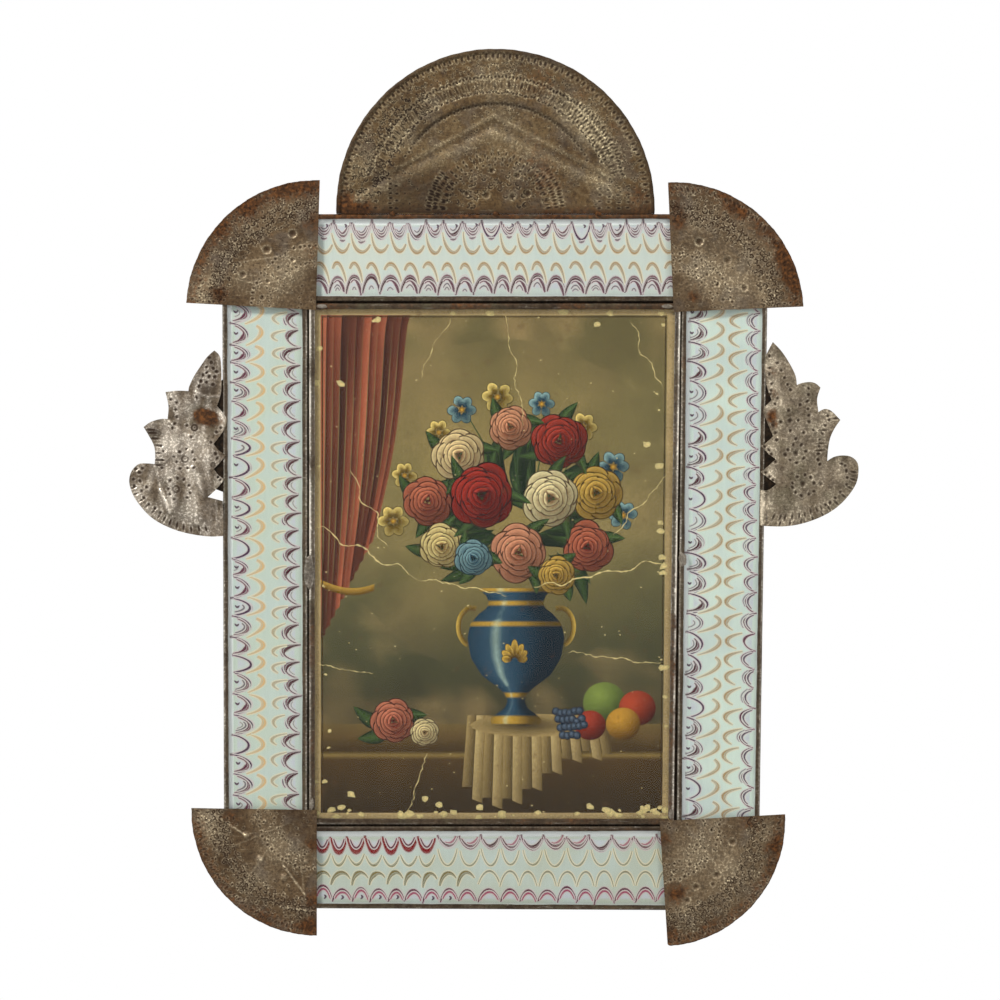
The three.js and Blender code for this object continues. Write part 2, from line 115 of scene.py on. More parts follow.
world = bpy.data.worlds.new("studio")
world.use_nodes = True
scene.world = world
sky = world.node_tree
sky.nodes.clear()
path = node(sky, "LightPath")
seen = node(sky, "Math", {0: path.outputs["Is Camera Ray"], 1: path.outputs["Is Glossy Ray"]},
            operation="MAXIMUM")
seen = node(sky, "Math", {0: seen, 1: path.outputs["Is Transmission Ray"]}, operation="MAXIMUM")
ambient = node(sky, "Background", {"Color": srgb("#f4f6ff"), "Strength": room_light})
white = node(sky, "Background", {"Color": (1, 1, 1, 1), "Strength": 1})
mixed = node(sky, "MixShader", {0: seen, 1: ambient, 2: white})
node(sky, "OutputWorld", {"Surface": mixed})


def soft_lamp(name, place, size, power):
    lamp = bpy.data.lights.new(name, "AREA")
    lamp.shape = "SQUARE"
    lamp.size = size
    lamp.energy = power
    holder = bpy.data.objects.new(name, lamp)
    holder.location = place
    holder.rotation_mode = "QUATERNION"
    holder.rotation_quaternion = (view_centre - holder.location).to_track_quat("-Z", "Y")
    scene.collection.objects.link(holder)


soft_lamp("lamp_above_left", (-1.3, -1.15, 1.6), 0.35, 44)
soft_lamp("lamp_above_right", (1.2, -1.7, 0.9), 0.9, 9)
soft_lamp("lamp_behind", (0.6, 1.8, 1.2), 1.2, 14)

floor_mesh = bpy.data.meshes.new("floor")
floor_level = cad_box[0].z - floor_drop
floor_corners = [(-1, -1), (1, -1), (1, 1), (-1, 1)]
floor_mesh.from_pydata([(x * floor_half, y * floor_half, floor_level) for x, y in floor_corners], [],
                       [(0, 1, 2, 3)])
floor = bpy.data.objects.new("floor", floor_mesh)
scene.collection.objects.link(floor)
floor_paint, tree = new_material("white_studio_floor")
ray = node(tree, "LightPath")
half_seen = node(tree, "Math", {0: ray.outputs["Is Camera Ray"], 1: 0.5}, operation="MULTIPLY")
matt = node(tree, "BsdfDiffuse", {"Color": srgb("#f2f1ee")})
glow = node(tree, "Emission", {"Color": (1, 1, 1, 1), "Strength": 1})
mixed = node(tree, "MixShader", {0: half_seen, 1: matt, 2: glow})
node(tree, "OutputMaterial", {"Surface": mixed})
floor_mesh.materials.append(floor_paint)


# Sheet backs: plain tinplate cut to size and held by the rear lips of the channels. It was never
# polished, so it is evenly browned, with rust where the coat is thin.
def size(millimetres):
    """A texture scale that gives features of this size."""
    return 1 / (millimetres * MM)


def browned_tinplate(name, dark, middle, light, wear_and_highlight="#d9ccb2", roughness=0.44, rust_level=0.5, shine=0.35,
                     dirt_and_shade_colour="#1e1409", tarnish="#5c5540"):
    """Hot-dipped tinplate gone brown: a thin dull crust that the metal mirrors through, bright where it is
    rubbed and where a highlight is painted, dark in its pits and where shade is painted, with iron rust
    where the coat has gone. Points carry their dirt and painted shade, their rust, and their wear and
    painted highlight."""
    material, tree = new_material(name)
    place = node(tree, "TexCoord").outputs["Object"]
    pit, rusted, rub_and_highlight = (
        node(tree, "Attribute", attribute_name=layer).outputs["Fac"] for layer in ("pit", "rust", "wear_and_highlight")
    )
    # The crust's grain at several sizes in millimetres, from broad clouds down to the specks of the coat
    grains = ((24, 5.0, 0.62), (4.5, 4.0, 0.7), (1.7, 3.0, 0.7), (15, 3.0, 0.55), (2.2, 3.0, 0.5),
              (3.2, 3.0, 0.6))
    broad, mottle, specks, stains, scale, dimples = (
        node(tree, "TexNoise", {
            "Vector": place, "Scale": size(millimetres), "Detail": detail, "Roughness": rough,
        })
        for millimetres, detail, rough in grains
    )
    turned = node(tree, "Mapping",
                  {"Vector": place, "Rotation": (0, math.radians(32), 0), "Scale": (1, 1, 7)})
    scratches = node(tree, "TexNoise", {
        "Vector": turned, "Scale": size(9), "Detail": 6.0, "Roughness": 0.65,
    })
    tones = [(0.35, dark), (0.67, light), (0.5, middle)]
    iron_tones = [(0.3, "#2e1b0c"), (0.7, "#774a24"), (0.5, "#513319")]
    broad_tone, mottle_tone, tarnished, filthy, streak, glint, iron = (
        node(tree, "ValToRGB", {"Fac": grain}, stops)
        for grain, stops in (
            (broad, tones), (mottle, tones), (stains, [(0.5, 0.0), (0.66, 0.6)]),
            (specks, [(0.36, 0.75), (0.48, 0.0)]), (scratches, [(0.57, 0.0), (0.72, 0.5)]),
            (specks, [(0.52, 0.25), (0.66, 1.0)]), (scale, iron_tones),
        )
    )

    # How far each place is rubbed bright and lit by painted highlight, rusted through, and darkened by dirt
    # and painted shade
    rub_and_highlight_share = node(tree, "Math", {0: rub_and_highlight, 1: glint}, operation="MULTIPLY")
    rub_and_highlight_share = node(tree, "Math", {0: glint, 1: streak, 2: rub_and_highlight_share}, operation="MULTIPLY_ADD", use_clamp=True)
    thin = node(tree, "Math", {0: mottle, 1: broad}, operation="ADD")
    thin = node(tree, "Math", {0: thin, 1: rusted}, operation="ADD")
    rust = node(tree, "MapRange", {
        "Value": thin, "From Min": 1.7 - rust_level, "From Max": 2.15 - rust_level,
    })
    filled_pit = node(tree, "Math", {0: pit, 1: 0.95}, operation="MULTIPLY", use_clamp=True)
    colour = broad_tone
    for share, over in ((0.5, mottle_tone), (tarnished, srgb(tarnish)), (filthy, srgb("#33261a")),
                        (rub_and_highlight_share, srgb(wear_and_highlight)), (rust, iron), (filled_pit, srgb(dirt_and_shade_colour))):
        colour = node(tree, "MixRGB", {"Fac": share, "Color1": colour, "Color2": over})

    # Rust, dirt and painted shade are dull; rubbed tin and painted highlight mirror; the crust between is
    # in the middle
    dull = node(tree, "Math", {0: rust, 1: filled_pit}, operation="MAXIMUM")
    bright = node(tree, "MapRange", {"Value": rub_and_highlight_share, "To Min": shine, "To Max": 0.92})
    kept = node(tree, "MapRange", {"Value": dull, "To Min": 1.0, "To Max": 0.15})
    metal = node(tree, "Math", {0: bright, 1: kept}, operation="MULTIPLY")
    rough = node(tree, "MapRange", {"Value": broad, "To Min": roughness - 0.12, "To Max": roughness + 0.14})
    rough = node(tree, "Math", {0: dull, 1: 0.3, 2: rough}, operation="MULTIPLY_ADD")
    dents = node(tree, "Math", {0: specks, 1: 0.4, 2: dimples}, operation="MULTIPLY_ADD")
    bump = node(tree, "Bump", {"Strength": 0.6, "Distance": 0.3 * MM, "Height": dents})
    shader = node(tree, "BsdfPrincipled", {
        "Base Color": colour, "Metallic": metal, "Roughness": rough, "Specular IOR Level": 0.2,
        "Normal": bump,
    })
    node(tree, "OutputMaterial", {"Surface": shader})
    return material


def coat(name, material):
    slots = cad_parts[name].material_slots
    slots[0].material = material


back_tin = browned_tinplate("unpolished_back_tinplate", "#453c30", "#6b6252", "#857b68", rust_level=0.62)
for name in ("back_plate", "top_panel_back", "right_panel_back", "bottom_panel_back", "left_panel_back"):
    coat(name, back_tin)

# Backing board: thin sawn pine, cut to the window and laid behind the print to press it to its glass.
# Its grain runs upwards as brown streaks, and the saw left it matt and a little rough.
board_wood, tree = new_material("sawn_pine")
place = node(tree, "TexCoord").outputs["Object"]
stretched = node(tree, "Mapping", {"Vector": place, "Scale": (1, 1, 0.06)})
grain = node(tree, "TexNoise", {"Vector": stretched, "Scale": size(3), "Detail": 5.0})
wood = node(tree, "ValToRGB", {"Fac": grain}, [(0.35, "#6d4f31"), (0.65, "#a27c50")])
bump = node(tree, "Bump", {"Strength": 0.4, "Distance": 0.3 * MM, "Height": grain})
shader = node(tree, "BsdfPrincipled", {"Base Color": wood, "Roughness": 0.8, "Normal": bump})
node(tree, "OutputMaterial", {"Surface": shader})
coat("backing_board", board_wood)

# Print: an old chromolithograph of flowers in an urn, inked in flat shapes that shade into each other,
# on paper that has browned, creased across and lost flakes of ink along its margins.
def corners_of(name):
    """Top left, top right, bottom right and bottom left of a flat four-sided node, in millimetres."""
    points = [np.array((v.co.x, v.co.z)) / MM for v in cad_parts[name].data.vertices]
    ways = ((-1, 1), (1, 1), (1, -1), (-1, -1))
    return [max(points, key=lambda p: x * p[0] + z * p[1]) for x, z in ways]


def depths_of(name):
    """Front and rear of a node, in millimetres."""
    low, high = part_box(name)
    return low.y / MM, high.y / MM


def finished(name, points, faces, material, layers=None, body="frame", replaced=None):
    """A piece from points in millimetres, with its layers of wear and painted light, material, body and
    replaced node.
    """
    mesh = bpy.data.meshes.new(name)
    mesh.from_pydata((np.array(points) * MM).tolist(), [], faces)
    for layer, values in (layers or {}).items():
        values = np.array(values, np.float32)
        domain = "POINT" if len(values) == len(points) else "CORNER"
        kind, key = ("FLOAT_COLOR", "color") if values.ndim == 2 else ("FLOAT", "value")
        mesh.attributes.new(layer, kind, domain).data.foreach_set(key, values.ravel())
    mesh.shade_smooth()
    mesh.set_sharp_from_angle(angle=math.radians(62))
    mesh.materials.append(material)
    piece = bpy.data.objects.new(name, mesh)
    scene.collection.objects.link(piece)
    if replaced:
        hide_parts(replaced)
    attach(piece, body)
    return piece


def overlaid(points, faces, values):
    """Flat triangles laid over each other in order, cut into one sheet where the last laid shows. Returns
    its points, its triangles and the value at each triangle's corners."""
    points, faces, values = np.array(points), np.array(faces), np.array(values)
    a, b, c = (points[faces[:, i]] for i in range(3))
    area = (b - a)[:, 0] * (c - a)[:, 1] - (b - a)[:, 1] * (c - a)[:, 0]
    faces[area < 0] = faces[area < 0][:, ::-1]
    faces = faces[np.abs(area) > 1e-4]
    edges = {tuple(sorted(pair)) for face in faces.tolist() for pair in zip(face, face[1:] + face[:1])}
    made = delaunay_2d_cdt([Vector(p) for p in points], list(edges), [], 0, 1e-4)
    place = np.array([tuple(p) for p in made[0]])
    corner = np.array([list(face) for face in made[2]])
    heart = place[corner].mean(1)
    order = np.argsort(heart[:, 0])
    corner, heart = corner[order], heart[order]
    top = np.full(len(heart), -1)
    low, high = points[faces].min(1), points[faces].max(1)
    first, last = np.searchsorted(heart[:, 0], low[:, 0]), np.searchsorted(heart[:, 0], high[:, 0])
    for number, (face, i, j) in enumerate(zip(faces, first, last)):
        near = heart[i:j]
        inside = np.ones(len(near), bool)
        for start, end in zip(points[face], points[np.roll(face, -1)]):
            side = end - start
            inside &= side[0] * (near[:, 1] - start[1]) - side[1] * (near[:, 0] - start[0]) >= 0
        top[i:j][inside] = number
    corner, top = corner[top >= 0], faces[top[top >= 0]]
    a, b, c = (points[top[:, i]][:, None] for i in range(3))
    p = place[corner]

    def cross(u, v):
        return u[..., 0] * v[..., 1] - u[..., 1] * v[..., 0]

    whole = cross(b - a, c - a)
    second = cross(p - a, c - a) / whole
    third = cross(b - a, p - a) / whole
    weights = np.clip(np.stack([1 - second - third, second, third], -1), 0, 1)
    mixed = np.einsum("fkj,fjv->fkv", weights, values[top])
    return place, corner, mixed


class Inking:
    """Flat shapes in millimetres, in the order in which they are laid on the sheet."""

    def __init__(self):
        self.points, self.faces, self.inks = [], [], []

    def fan(self, rim, rim_ink, heart, heart_ink):
        rim_inks = rim_ink if isinstance(rim_ink, list) else [rim_ink] * len(rim)
        first = len(self.points)
        self.points += [heart, *rim]
        self.inks += [heart_ink, *rim_inks]
        for i in range(len(rim)):
            self.faces.append((first, first + 1 + i, first + 1 + (i + 1) % len(rim)))

    def band(self, left, right, left_ink, right_ink):
        first, count = len(self.points), len(left)
        left_inks, right_inks = (
            tint if isinstance(tint, list) else [tint] * count for tint in (left_ink, right_ink)
        )
        self.points += [*left, *right]
        self.inks += [*left_inks, *right_inks]
        for i in range(first, first + count - 1):
            self.faces += [(i, i + 1, i + 1 + count), (i, i + 1 + count, i + count)]


def ink(hex_colour, light=1.0):
    return np.array(srgb(hex_colour)[:3]) * light


def blend(first, second, share):
    share = np.clip(share, 0, 1)
    return first * (1 - share) + second * share


def sky_ink(x, z):
    stops = [(180, "#70644a"), (110, "#7d7054"), (40, "#82755a"), (-20, "#6f674f"), (-70, "#565240"),
             (-120, "#4a4334")]
    tone = ink(stops[-1][1])
    for (high, upper), (low, under) in zip(stops, stops[1:]):
        if low <= z <= high:
            tone = blend(ink(under), ink(upper), (z - low) / (high - low))
    tone = ink(stops[0][1]) if z > stops[0][0] else tone
    cloud = noise.noise((x / 60, 3.7, z / 34)) + 0.5 * noise.noise((x / 22, 8.1, z / 15))
    return blend(tone, ink("#a98e70"), 0.75 * max(0, cloud + 0.12)) * (1 + 0.1 * min(0, cloud))


litho = Inking()
rng = np.random.default_rng(5)
sheet_corners = corners_of("picture_print")
low_x, high_x = sheet_corners[0][0], sheet_corners[1][0]
high_z, low_z = sheet_corners[0][1], sheet_corners[3][1]
sky_rows, sky_columns = 44, 32
for i in range(sky_rows):
    rows = []
    for n in (i, i + 1):
        z = high_z + (low_z - high_z) * n / sky_rows
        lean = (high_z - z) / (high_z - low_z)
        right = sheet_corners[1][0] + (sheet_corners[2][0] - sheet_corners[1][0]) * lean
        rows.append([(low_x + (right - low_x) * k / sky_columns, z) for k in range(sky_columns + 1)])
    litho.band(rows[0], rows[1], [sky_ink(*p) for p in rows[0]], [sky_ink(*p) for p in rows[1]])


def turned(points, turn, x, z):
    u, v = np.array(points).T
    across, up = math.cos(turn), math.sin(turn)
    return np.column_stack([x + u * across - v * up, z + u * up + v * across])


def turns_round(count):
    return np.linspace(0, 2 * math.pi, count + 1)[:-1]


def round_rim(x, z, wide, tall, turns):
    return [(x + wide * math.cos(t), z + tall * math.sin(t)) for t in turns]


def petal(x, z, turn, start, reach, wide, heart, edge):
    across = np.linspace(-1, 1, 9)
    rim = [(start + (reach - start) * (1 - 0.55 * t * t) ** 0.8, wide * t * (1 - 0.18 * t * t))
           for t in across]
    rim += [(start + (reach - start) * 0.12, wide * t) for t in (0.45, -0.45)]
    facing = [0.78 + 0.34 * math.cos(turn + 0.5 * t - math.radians(125)) for t in across]
    shadow = turned([(u * 1.02 + 0.3, v * 1.1) for u, v in rim], turn, x, z)
    litho.fan(shadow, heart * 0.45, tuple(turned([(start, 0)], turn, x, z)[0]), heart * 0.45)
    inks = [edge * f for f in facing] + [heart * 0.7] * 2
    litho.fan(turned(rim, turn, x, z), inks,
              tuple(turned([(start + (reach - start) * 0.42, 0)], turn, x, z)[0]), heart)


def rose(x, z, radius, heart, edge, turn):
    for ring, (share, count) in enumerate(((1.0, 7), (0.8, 6), (0.6, 5), (0.42, 4), (0.24, 3))):
        for k in range(count):
            way = turn + 0.6 * ring + 2 * math.pi * k / count + rng.normal(0, 0.09)
            reach = radius * share * (1 + rng.normal(0, 0.05))
            light = 0.82 + 0.07 * ring
            wide = reach * 1.35 * math.sin(math.pi / count)
            petal(x, z, way, reach * 0.3, reach, wide, heart * light, edge * light)
    bud = round_rim(x, z, 0.09 * radius, 0.07 * radius, np.linspace(0, 5.6, 7))
    litho.fan(bud, heart * 0.5, (x, z), heart * 0.3)


def daisy(x, z, radius, heart, edge):
    for k in range(6):
        way = 1 + math.pi * k / 3 + rng.normal(0, 0.1)
        petal(x, z, way, radius * 0.2, radius, radius * 0.42, heart, edge)
    dot = round_rim(x, z, 0.2 * radius, 0.2 * radius, np.linspace(0, 5.5, 8))
    litho.fan(dot, ink("#7d5a26"), (x, z), ink("#c9a04e"))


def leaf(x, z, turn, long, wide, dark, light):
    share = np.linspace(0, 1, 9)
    bend = 0.12 * long * np.sin(share * math.pi)
    swell = wide * np.sin(share * math.pi) ** 0.75 * (1 - 0.35 * share)
    rib = np.column_stack([long * share, bend])
    lit = 1.12 if math.cos(turn - math.radians(35)) > 0 else 0.85
    for hand, shade in ((1, lit), (-1, 2 - lit - 0.25)):
        side = np.column_stack([long * share + 0.04 * long, bend + hand * swell])
        litho.band(turned(side, turn, x, z), turned(rib, turn, x, z), dark * shade * 0.8, light * shade)
        for t in (0.25, 0.42, 0.6, 0.76):
            base = np.array((long * t, 0.12 * long * math.sin(t * math.pi)))
            tip = base + np.array((0.16 * long, hand * 0.75 * wide * math.sin(t * math.pi) ** 0.75
                                   * (1 - 0.35 * t)))
            vein = turned([base, tip], turn, x, z)
            vein_side = turned([base + (0.35, 0), tip + (0.1, 0)], turn, x, z)
            litho.band(vein, vein_side, light * 1.25, light * 1.1)


# The ledge, the wall shade behind it and a hanging curtain on the left
glow = round_rim(8, 40, 120, 118, turns_round(27))
litho.fan(glow, [sky_ink(*p) for p in glow], (8, 40), blend(sky_ink(8, 40), ink("#a58f62"), 0.55))
ledge_top, ledge_front = -112, -131
ledge_bands = [(ledge_top, "#7a6647"), (ledge_top - 9, "#6a5539"), (ledge_front, "#4f3d28"),
               (ledge_front - 3, "#8a744e"), (ledge_front - 6, "#5a452c"), (ledge_front - 28, "#4a3a27"),
               (low_z, "#3d2f20")]
for (high, upper), (low, under) in zip(ledge_bands, ledge_bands[1:]):
    columns = np.linspace(low_x + 0.5, high_x - 4.5, 15)
    flicker = [1 + 0.09 * noise.noise((x / 17, high, 2)) for x in columns]
    litho.band([(x, high) for x in columns], [(x, low) for x in columns],
               [ink(upper) * f for f in flicker], [ink(under) * f for f in flicker])

curtain_folds, fold_at_rail, fold_at_foot = 13, 5.4, 3.1
for k in range(curtain_folds):
    top_left, top_right = (low_x + 1 + n * fold_at_rail for n in (k, k + 1))
    low_left, low_right = (low_x + 1 + n * fold_at_foot for n in (k, k + 1))
    share = np.linspace(0, 1, 16)
    drop = 178 - (243 - 6.5 * k) * share
    swing = 9 * np.sin(share * math.pi * 0.9) * k / curtain_folds
    left = np.column_stack([top_left + (low_left - top_left) * share ** 0.7 + swing, drop])
    right = np.column_stack([top_right + (low_right - top_right) * share ** 0.7 + swing,
                             drop + 2.5 * share])
    tone = ink("#8a4a3a") if k % 2 else ink("#5d2a22")
    fade = [0.75 + 0.35 * math.sin(2.3 * s + k) for s in share]
    litho.band(left, right, [tone * f for f in fade],
               [ink("#b0705c") * f * (0.9 if k % 2 else 0.6) for f in fade])
tie = [(low_x + 1 + 44 * s, -8 - 9 * math.sin(s * 2.4)) for s in np.linspace(0, 1, 12)]
litho.band(tie, [(x, z - 5) for x, z in tie], ink("#b08e4c"), ink("#64491f"))

# The urn, shaded as a turned body, with gilt bands, on an ivory cloth that spills over the ledge
urn_x = 16
cloth_folds, cloth_pleat = 15, 6.4
for k in range(cloth_folds):
    left_x, right_x = (urn_x - 34 + n * cloth_pleat for n in (k, k + 1))
    fall = 34 + 17 * math.sin(0.5 + k * 0.34) + 4 * (k % 2)
    share = np.linspace(0, 1, 8)
    left = [(left_x + 5 * s * (k - 6) / 8, ledge_top + 6 - (fall + 8) * s) for s in share]
    right = [(right_x + 5 * s * (k - 5) / 8, ledge_top + 6 - (fall + 8) * s - 3 * (k % 2) * s)
             for s in share]
    light, shade = (ink("#c2a987"), ink("#8d7657")) if k % 2 else (ink("#a58d6b"), ink("#6a563c"))
    litho.band(left, right, [light * (1.05 - 0.35 * s) for s in share],
               [shade * (1.05 - 0.35 * s) for s in share])
cloth_top = round_rim(urn_x + 12, ledge_top - 1, 44, 8, turns_round(24))
litho.fan(cloth_top, ink("#a58d6b"), (urn_x + 6, ledge_top - 1), ink("#4a3c29"))
urn_profile = [(-112, 17), (-109, 18), (-106, 15), (-101, 8), (-96, 6), (-91, 8), (-87, 12), (-78, 24),
               (-66, 31.5), (-52, 34), (-42, 32), (-35, 26), (-31, 20.5), (-27, 19), (-22, 21), (-19, 25),
               (-17, 26)]
urn_columns = np.linspace(-1, 1, 15)
gilt_rows = ((-112, -106), (-94, -91), (-44, -40), (-29, -26), (-20, -17))
heights = np.linspace(-112, -17, 60)
widths = np.interp(heights, *np.array(urn_profile).T)


def urn_ink(z, u):
    gilt = any(low <= z <= high for low, high in gilt_rows)
    body = ink("#b59148") if gilt else ink("#35506a")
    shade = 0.28 + 0.85 * max(0, math.cos((u + 0.38) * 1.45)) ** 1.6
    gleam = math.exp(-((u + 0.42) / 0.09) ** 2) * (0.75 if -86 < z < -38 or gilt else 0.2)
    return blend(body * shade, ink("#c9d2cc"), 0.6 * gleam)


for low, high, wide, wider in zip(heights, heights[1:], widths, widths[1:]):
    litho.band([(urn_x + u * wide, low) for u in urn_columns],
               [(urn_x + u * wider, high) for u in urn_columns], [urn_ink(low, u) for u in urn_columns],
               [urn_ink(high, u) for u in urn_columns])
for hand in (-1, 1):
    turns = np.linspace(-1.25, 1.9, 16)
    outer = [(urn_x + hand * (31 + 11 * math.cos(t)), -44 + 15 * math.sin(t)) for t in turns]
    inner = [(urn_x + hand * (31 + 7.6 * math.cos(t)), -44 + 11.4 * math.sin(t)) for t in turns]
    litho.band(outer, inner, [ink("#cbaa62") * (0.7 + 0.3 * math.cos(t * 2)) for t in turns],
               ink("#5c4420"))
for k in range(7):
    way = math.pi * (k + 0.5) / 7
    petal(urn_x - 1, -68, way, 2, 15 - 2 * abs(k - 3), 3.1, ink("#7d6130"), ink("#c4a35c"))

# The bunch: leaves first, then blooms from the outside in
green, pale_green = ink("#26352a"), ink("#586a44")
leaf_count = 46
for k in range(leaf_count):
    way = math.radians(-38 + 256 * k / (leaf_count - 1)) + rng.normal(0, 0.07)
    start = rng.uniform(12, 30)
    x, z = urn_x + 1.1 * start * math.cos(way), 24 + start * math.sin(way)
    long = rng.uniform(30, 48) * (1.1 if math.sin(way) > 0.5 else 0.9)
    leaf(x, z, way + rng.normal(0, 0.3), long, rng.uniform(5.5, 9), green,
         blend(green, pale_green, rng.uniform(0.3, 1)))
for k, (x, z) in enumerate(((-38, 92), (-22, 108), (3, 117), (34, 112), (63, 96), (84, 68), (-62, 62),
                            (91, 34), (-70, 30))):
    stem = [(urn_x + (x - urn_x) * s + 6 * math.sin(s * 3), 20 + (z - 20) * s)
            for s in np.linspace(0.3, 1, 8)]
    litho.band(stem, [(px + 0.9, pz) for px, pz in stem], pale_green, green)
    heart, edge = ("#3c5468", "#8fa3ab") if k % 2 else ("#7a6230", "#d6bd86")
    daisy(x, z, 9 + (k % 3), ink(heart), ink(edge))
blooms = [
    (-46, 44, 17, "#6d2f28", "#b87460"), (72, 50, 18, "#7a5a2a", "#c9a662"),
    (-24, 76, 18, "#8c6a54", "#d8c0a0"), (46, 86, 19, "#5e1f1c", "#a5473a"),
    (12, 96, 15, "#84503c", "#cf9a84"), (-36, 12, 16, "#8c6c48", "#d9c49a"),
    (66, 12, 17, "#6d2f28", "#b5705c"), (40, 46, 20, "#8c6e58", "#dccbb0"),
    (-8, 48, 22, "#571a18", "#a83f34"), (18, 8, 20, "#83503f", "#cc9480"),
    (-14, 4, 13, "#34506a", "#8ba2b0"), (44, -8, 13, "#7a5a2a", "#c9a662"),
]
for k, (x, z, radius, heart, edge) in enumerate(blooms):
    for way in (0.5, 2.4, 4.4):
        leaf(x, z, way + k, radius * 1.55, 6, green, pale_green)
    rose(x, z, radius, ink(heart), ink(edge), k * 0.7)

# On the ledge: fruit on the right, a fallen bloom and its leaves on the left
for x, z, radius, dark, light in ((78, -97, 15, "#3a4a2c", "#8b9458"),
                                  (101, -101, 13, "#5c1f18", "#b4553c"),
                                  (91, -112, 12, "#6a4a1c", "#c99a4a"),
                                  (68, -113, 11, "#5c1f18", "#a84a38")):
    rim = round_rim(x, z, radius, 0.95 * radius, turns_round(24))
    tones = [blend(ink(dark) * 0.6, ink(light), 0.35 + 0.4 * math.cos(t - 2.2)) for t in turns_round(24)]
    litho.fan(rim, tones, (x - 0.3 * radius, z + 0.3 * radius), ink(light))
grape_count, grape_radius = 22, 3
for k in range(grape_count):
    x, z = 44 + 3.3 * (k % 6) + 1.6 * (k // 6), -104 - 5.2 * (k // 6) + rng.normal(0, 0.8)
    rim = round_rim(x, z, grape_radius, grape_radius, turns_round(10))
    litho.fan(rim, ink("#1c2230"), (x - 0.9, z + 1), ink("#66708a"))
for way, long in ((2.7, 30), (3.5, 26), (0.3, 24), (5.9, 22)):
    leaf(-70, -113, way, long, 6.5, green, pale_green)
rose(-70, -110, 15, ink("#74352c"), ink("#c48270"), 0.4)
rose(-48, -118, 10, ink("#8c6e58"), ink("#d9c6a6"), 1.1)


# A ruled border, then what age did: creases across the sheet and flakes along its margins
def outlined(inset, wide, tint):
    ring = [np.array((low_x + inset, high_z - inset)), np.array((high_x - inset - 1, high_z - inset)),
            np.array((high_x - inset - 4.9, low_z + inset)), np.array((low_x + inset, low_z + inset))]
    for start, end in zip(ring, ring[1:] + ring[:1]):
        along = (end - start) / np.hypot(*(end - start))
        across = np.array((along[1], -along[0])) * wide
        litho.band([start, end], [start + across, end + across], tint, tint)


paper_ink = ink("#bfa587")
outlined(0, 7.4, paper_ink * 0.8)
outlined(8.2, 0.8, ink("#4d3a22"))


def crease(start, end, wander, wide, tint):
    start, end = np.array(start, float), np.array(end, float)
    count = max(4, int(np.hypot(*(end - start)) / 1.6))
    share = np.linspace(0, 1, count)
    drift = np.array([noise.noise((s * count / 9, start[0], start[1])) for s in share]) * wander
    drift += rng.normal(0, 0.35, count)
    across = np.array((start[1] - end[1], end[0] - start[0])) / np.hypot(*(end - start))
    line = start + (end - start) * share[:, None] + across * drift[:, None]
    half = (wide * rng.uniform(0.1, 1, count) * np.sin(share * math.pi) ** 0.3)[:, None] / 2
    litho.band(line + across * half, line - across * half, tint, tint * 0.85)


worn_paper = ink("#d2bd98")
for start, end, wander, wide in (((-124, 26), (-58, -8), 7, 1.5), ((-58, -8), (10, -22), 5, 1.0),
                                 ((28, -16), (122, 2), 8, 1.7), ((-100, 66), (-74, 12), 6, 1.0),
                                 ((122, 62), (84, 20), 5, 0.9), ((-124, -70), (-84, -78), 4, 0.9),
                                 ((52, -62), (118, -70), 5, 1.1), ((8, 176), (22, 96), 4, 0.7),
                                 ((-30, 174), (-52, 130), 5, 0.7), ((96, 170), (118, 122), 5, 0.9),
                                 ((-60, -176), (-46, -132), 4, 0.8)):
    crease(start, end, wander, wide, worn_paper)
margin_flakes, specks = 90, 160
for k in range(margin_flakes):
    along = rng.uniform(0, 1)
    side = rng.choice(["bottom", "left", "right", "top"], p=[0.42, 0.2, 0.28, 0.1])
    depth = abs(rng.normal(0, 5)) + 1
    x, z = {"bottom": (low_x + 256 * along, low_z + depth + 3),
            "top": (low_x + 256 * along, high_z - depth - 3),
            "left": (low_x + depth + 3, low_z + 360 * along),
            "right": (high_x - depth - 8, low_z + 360 * along)}[side]
    reach = rng.uniform(0.5, 3.4) * rng.uniform(0.45, 1, 8)
    rim = [(x + 1.4 * r * math.cos(t), z + r * math.sin(t)) for r, t in zip(reach, turns_round(8))]
    litho.fan(rim, worn_paper * 0.8, (x, z), worn_paper)
for k in range(specks):
    x, z = rng.uniform(low_x + 8, high_x - 12), rng.uniform(low_z + 8, high_z - 8)
    reach = rng.uniform(0.2, 0.7) * rng.uniform(0.4, 1, 5)
    rim = [(x + 1.6 * r * math.cos(t), z + r * math.sin(t)) for r, t in zip(reach, np.linspace(0, 5, 5))]
    litho.fan(rim, worn_paper * 0.85, (x, z), worn_paper * 0.9)

# Greasy litho ink on rag paper: matt, broken into a stipple, yellowed and foxed. The real stipple is too
# fine to show, so it is drawn about 1.3 mm coarse.
chromolithograph, tree = new_material("aged_chromolithograph")
place = node(tree, "TexCoord").outputs["Object"]
tint = node(tree, "Attribute", attribute_name="tint").outputs["Color"]
stipple = node(tree, "TexNoise", {"Vector": place, "Scale": size(1.3), "Detail": 2.0, "Roughness": 0.7})
stipple = node(tree, "MapRange", {"Value": stipple, "From Min": 0.3, "From Max": 0.7, "To Min": 0.78,
                                  "To Max": 1.2})
blotch = node(tree, "TexNoise", {"Vector": place, "Scale": size(45), "Detail": 5.0, "Roughness": 0.65})
blotch = node(tree, "MapRange", {"Value": blotch, "From Min": 0.3, "From Max": 0.7, "To Min": 0.8,
                                 "To Max": 1.14})
shade = node(tree, "Math", {0: stipple, 1: blotch}, operation="MULTIPLY")
deep = node(tree, "Gamma", {"Color": tint, "Gamma": 1.3})
inked = node(tree, "VectorMath", {0: deep, "Scale": shade}, operation="SCALE")
inked = node(tree, "VectorMath", {0: inked, 1: (1.34, 1.44, 1.13)}, operation="MULTIPLY")
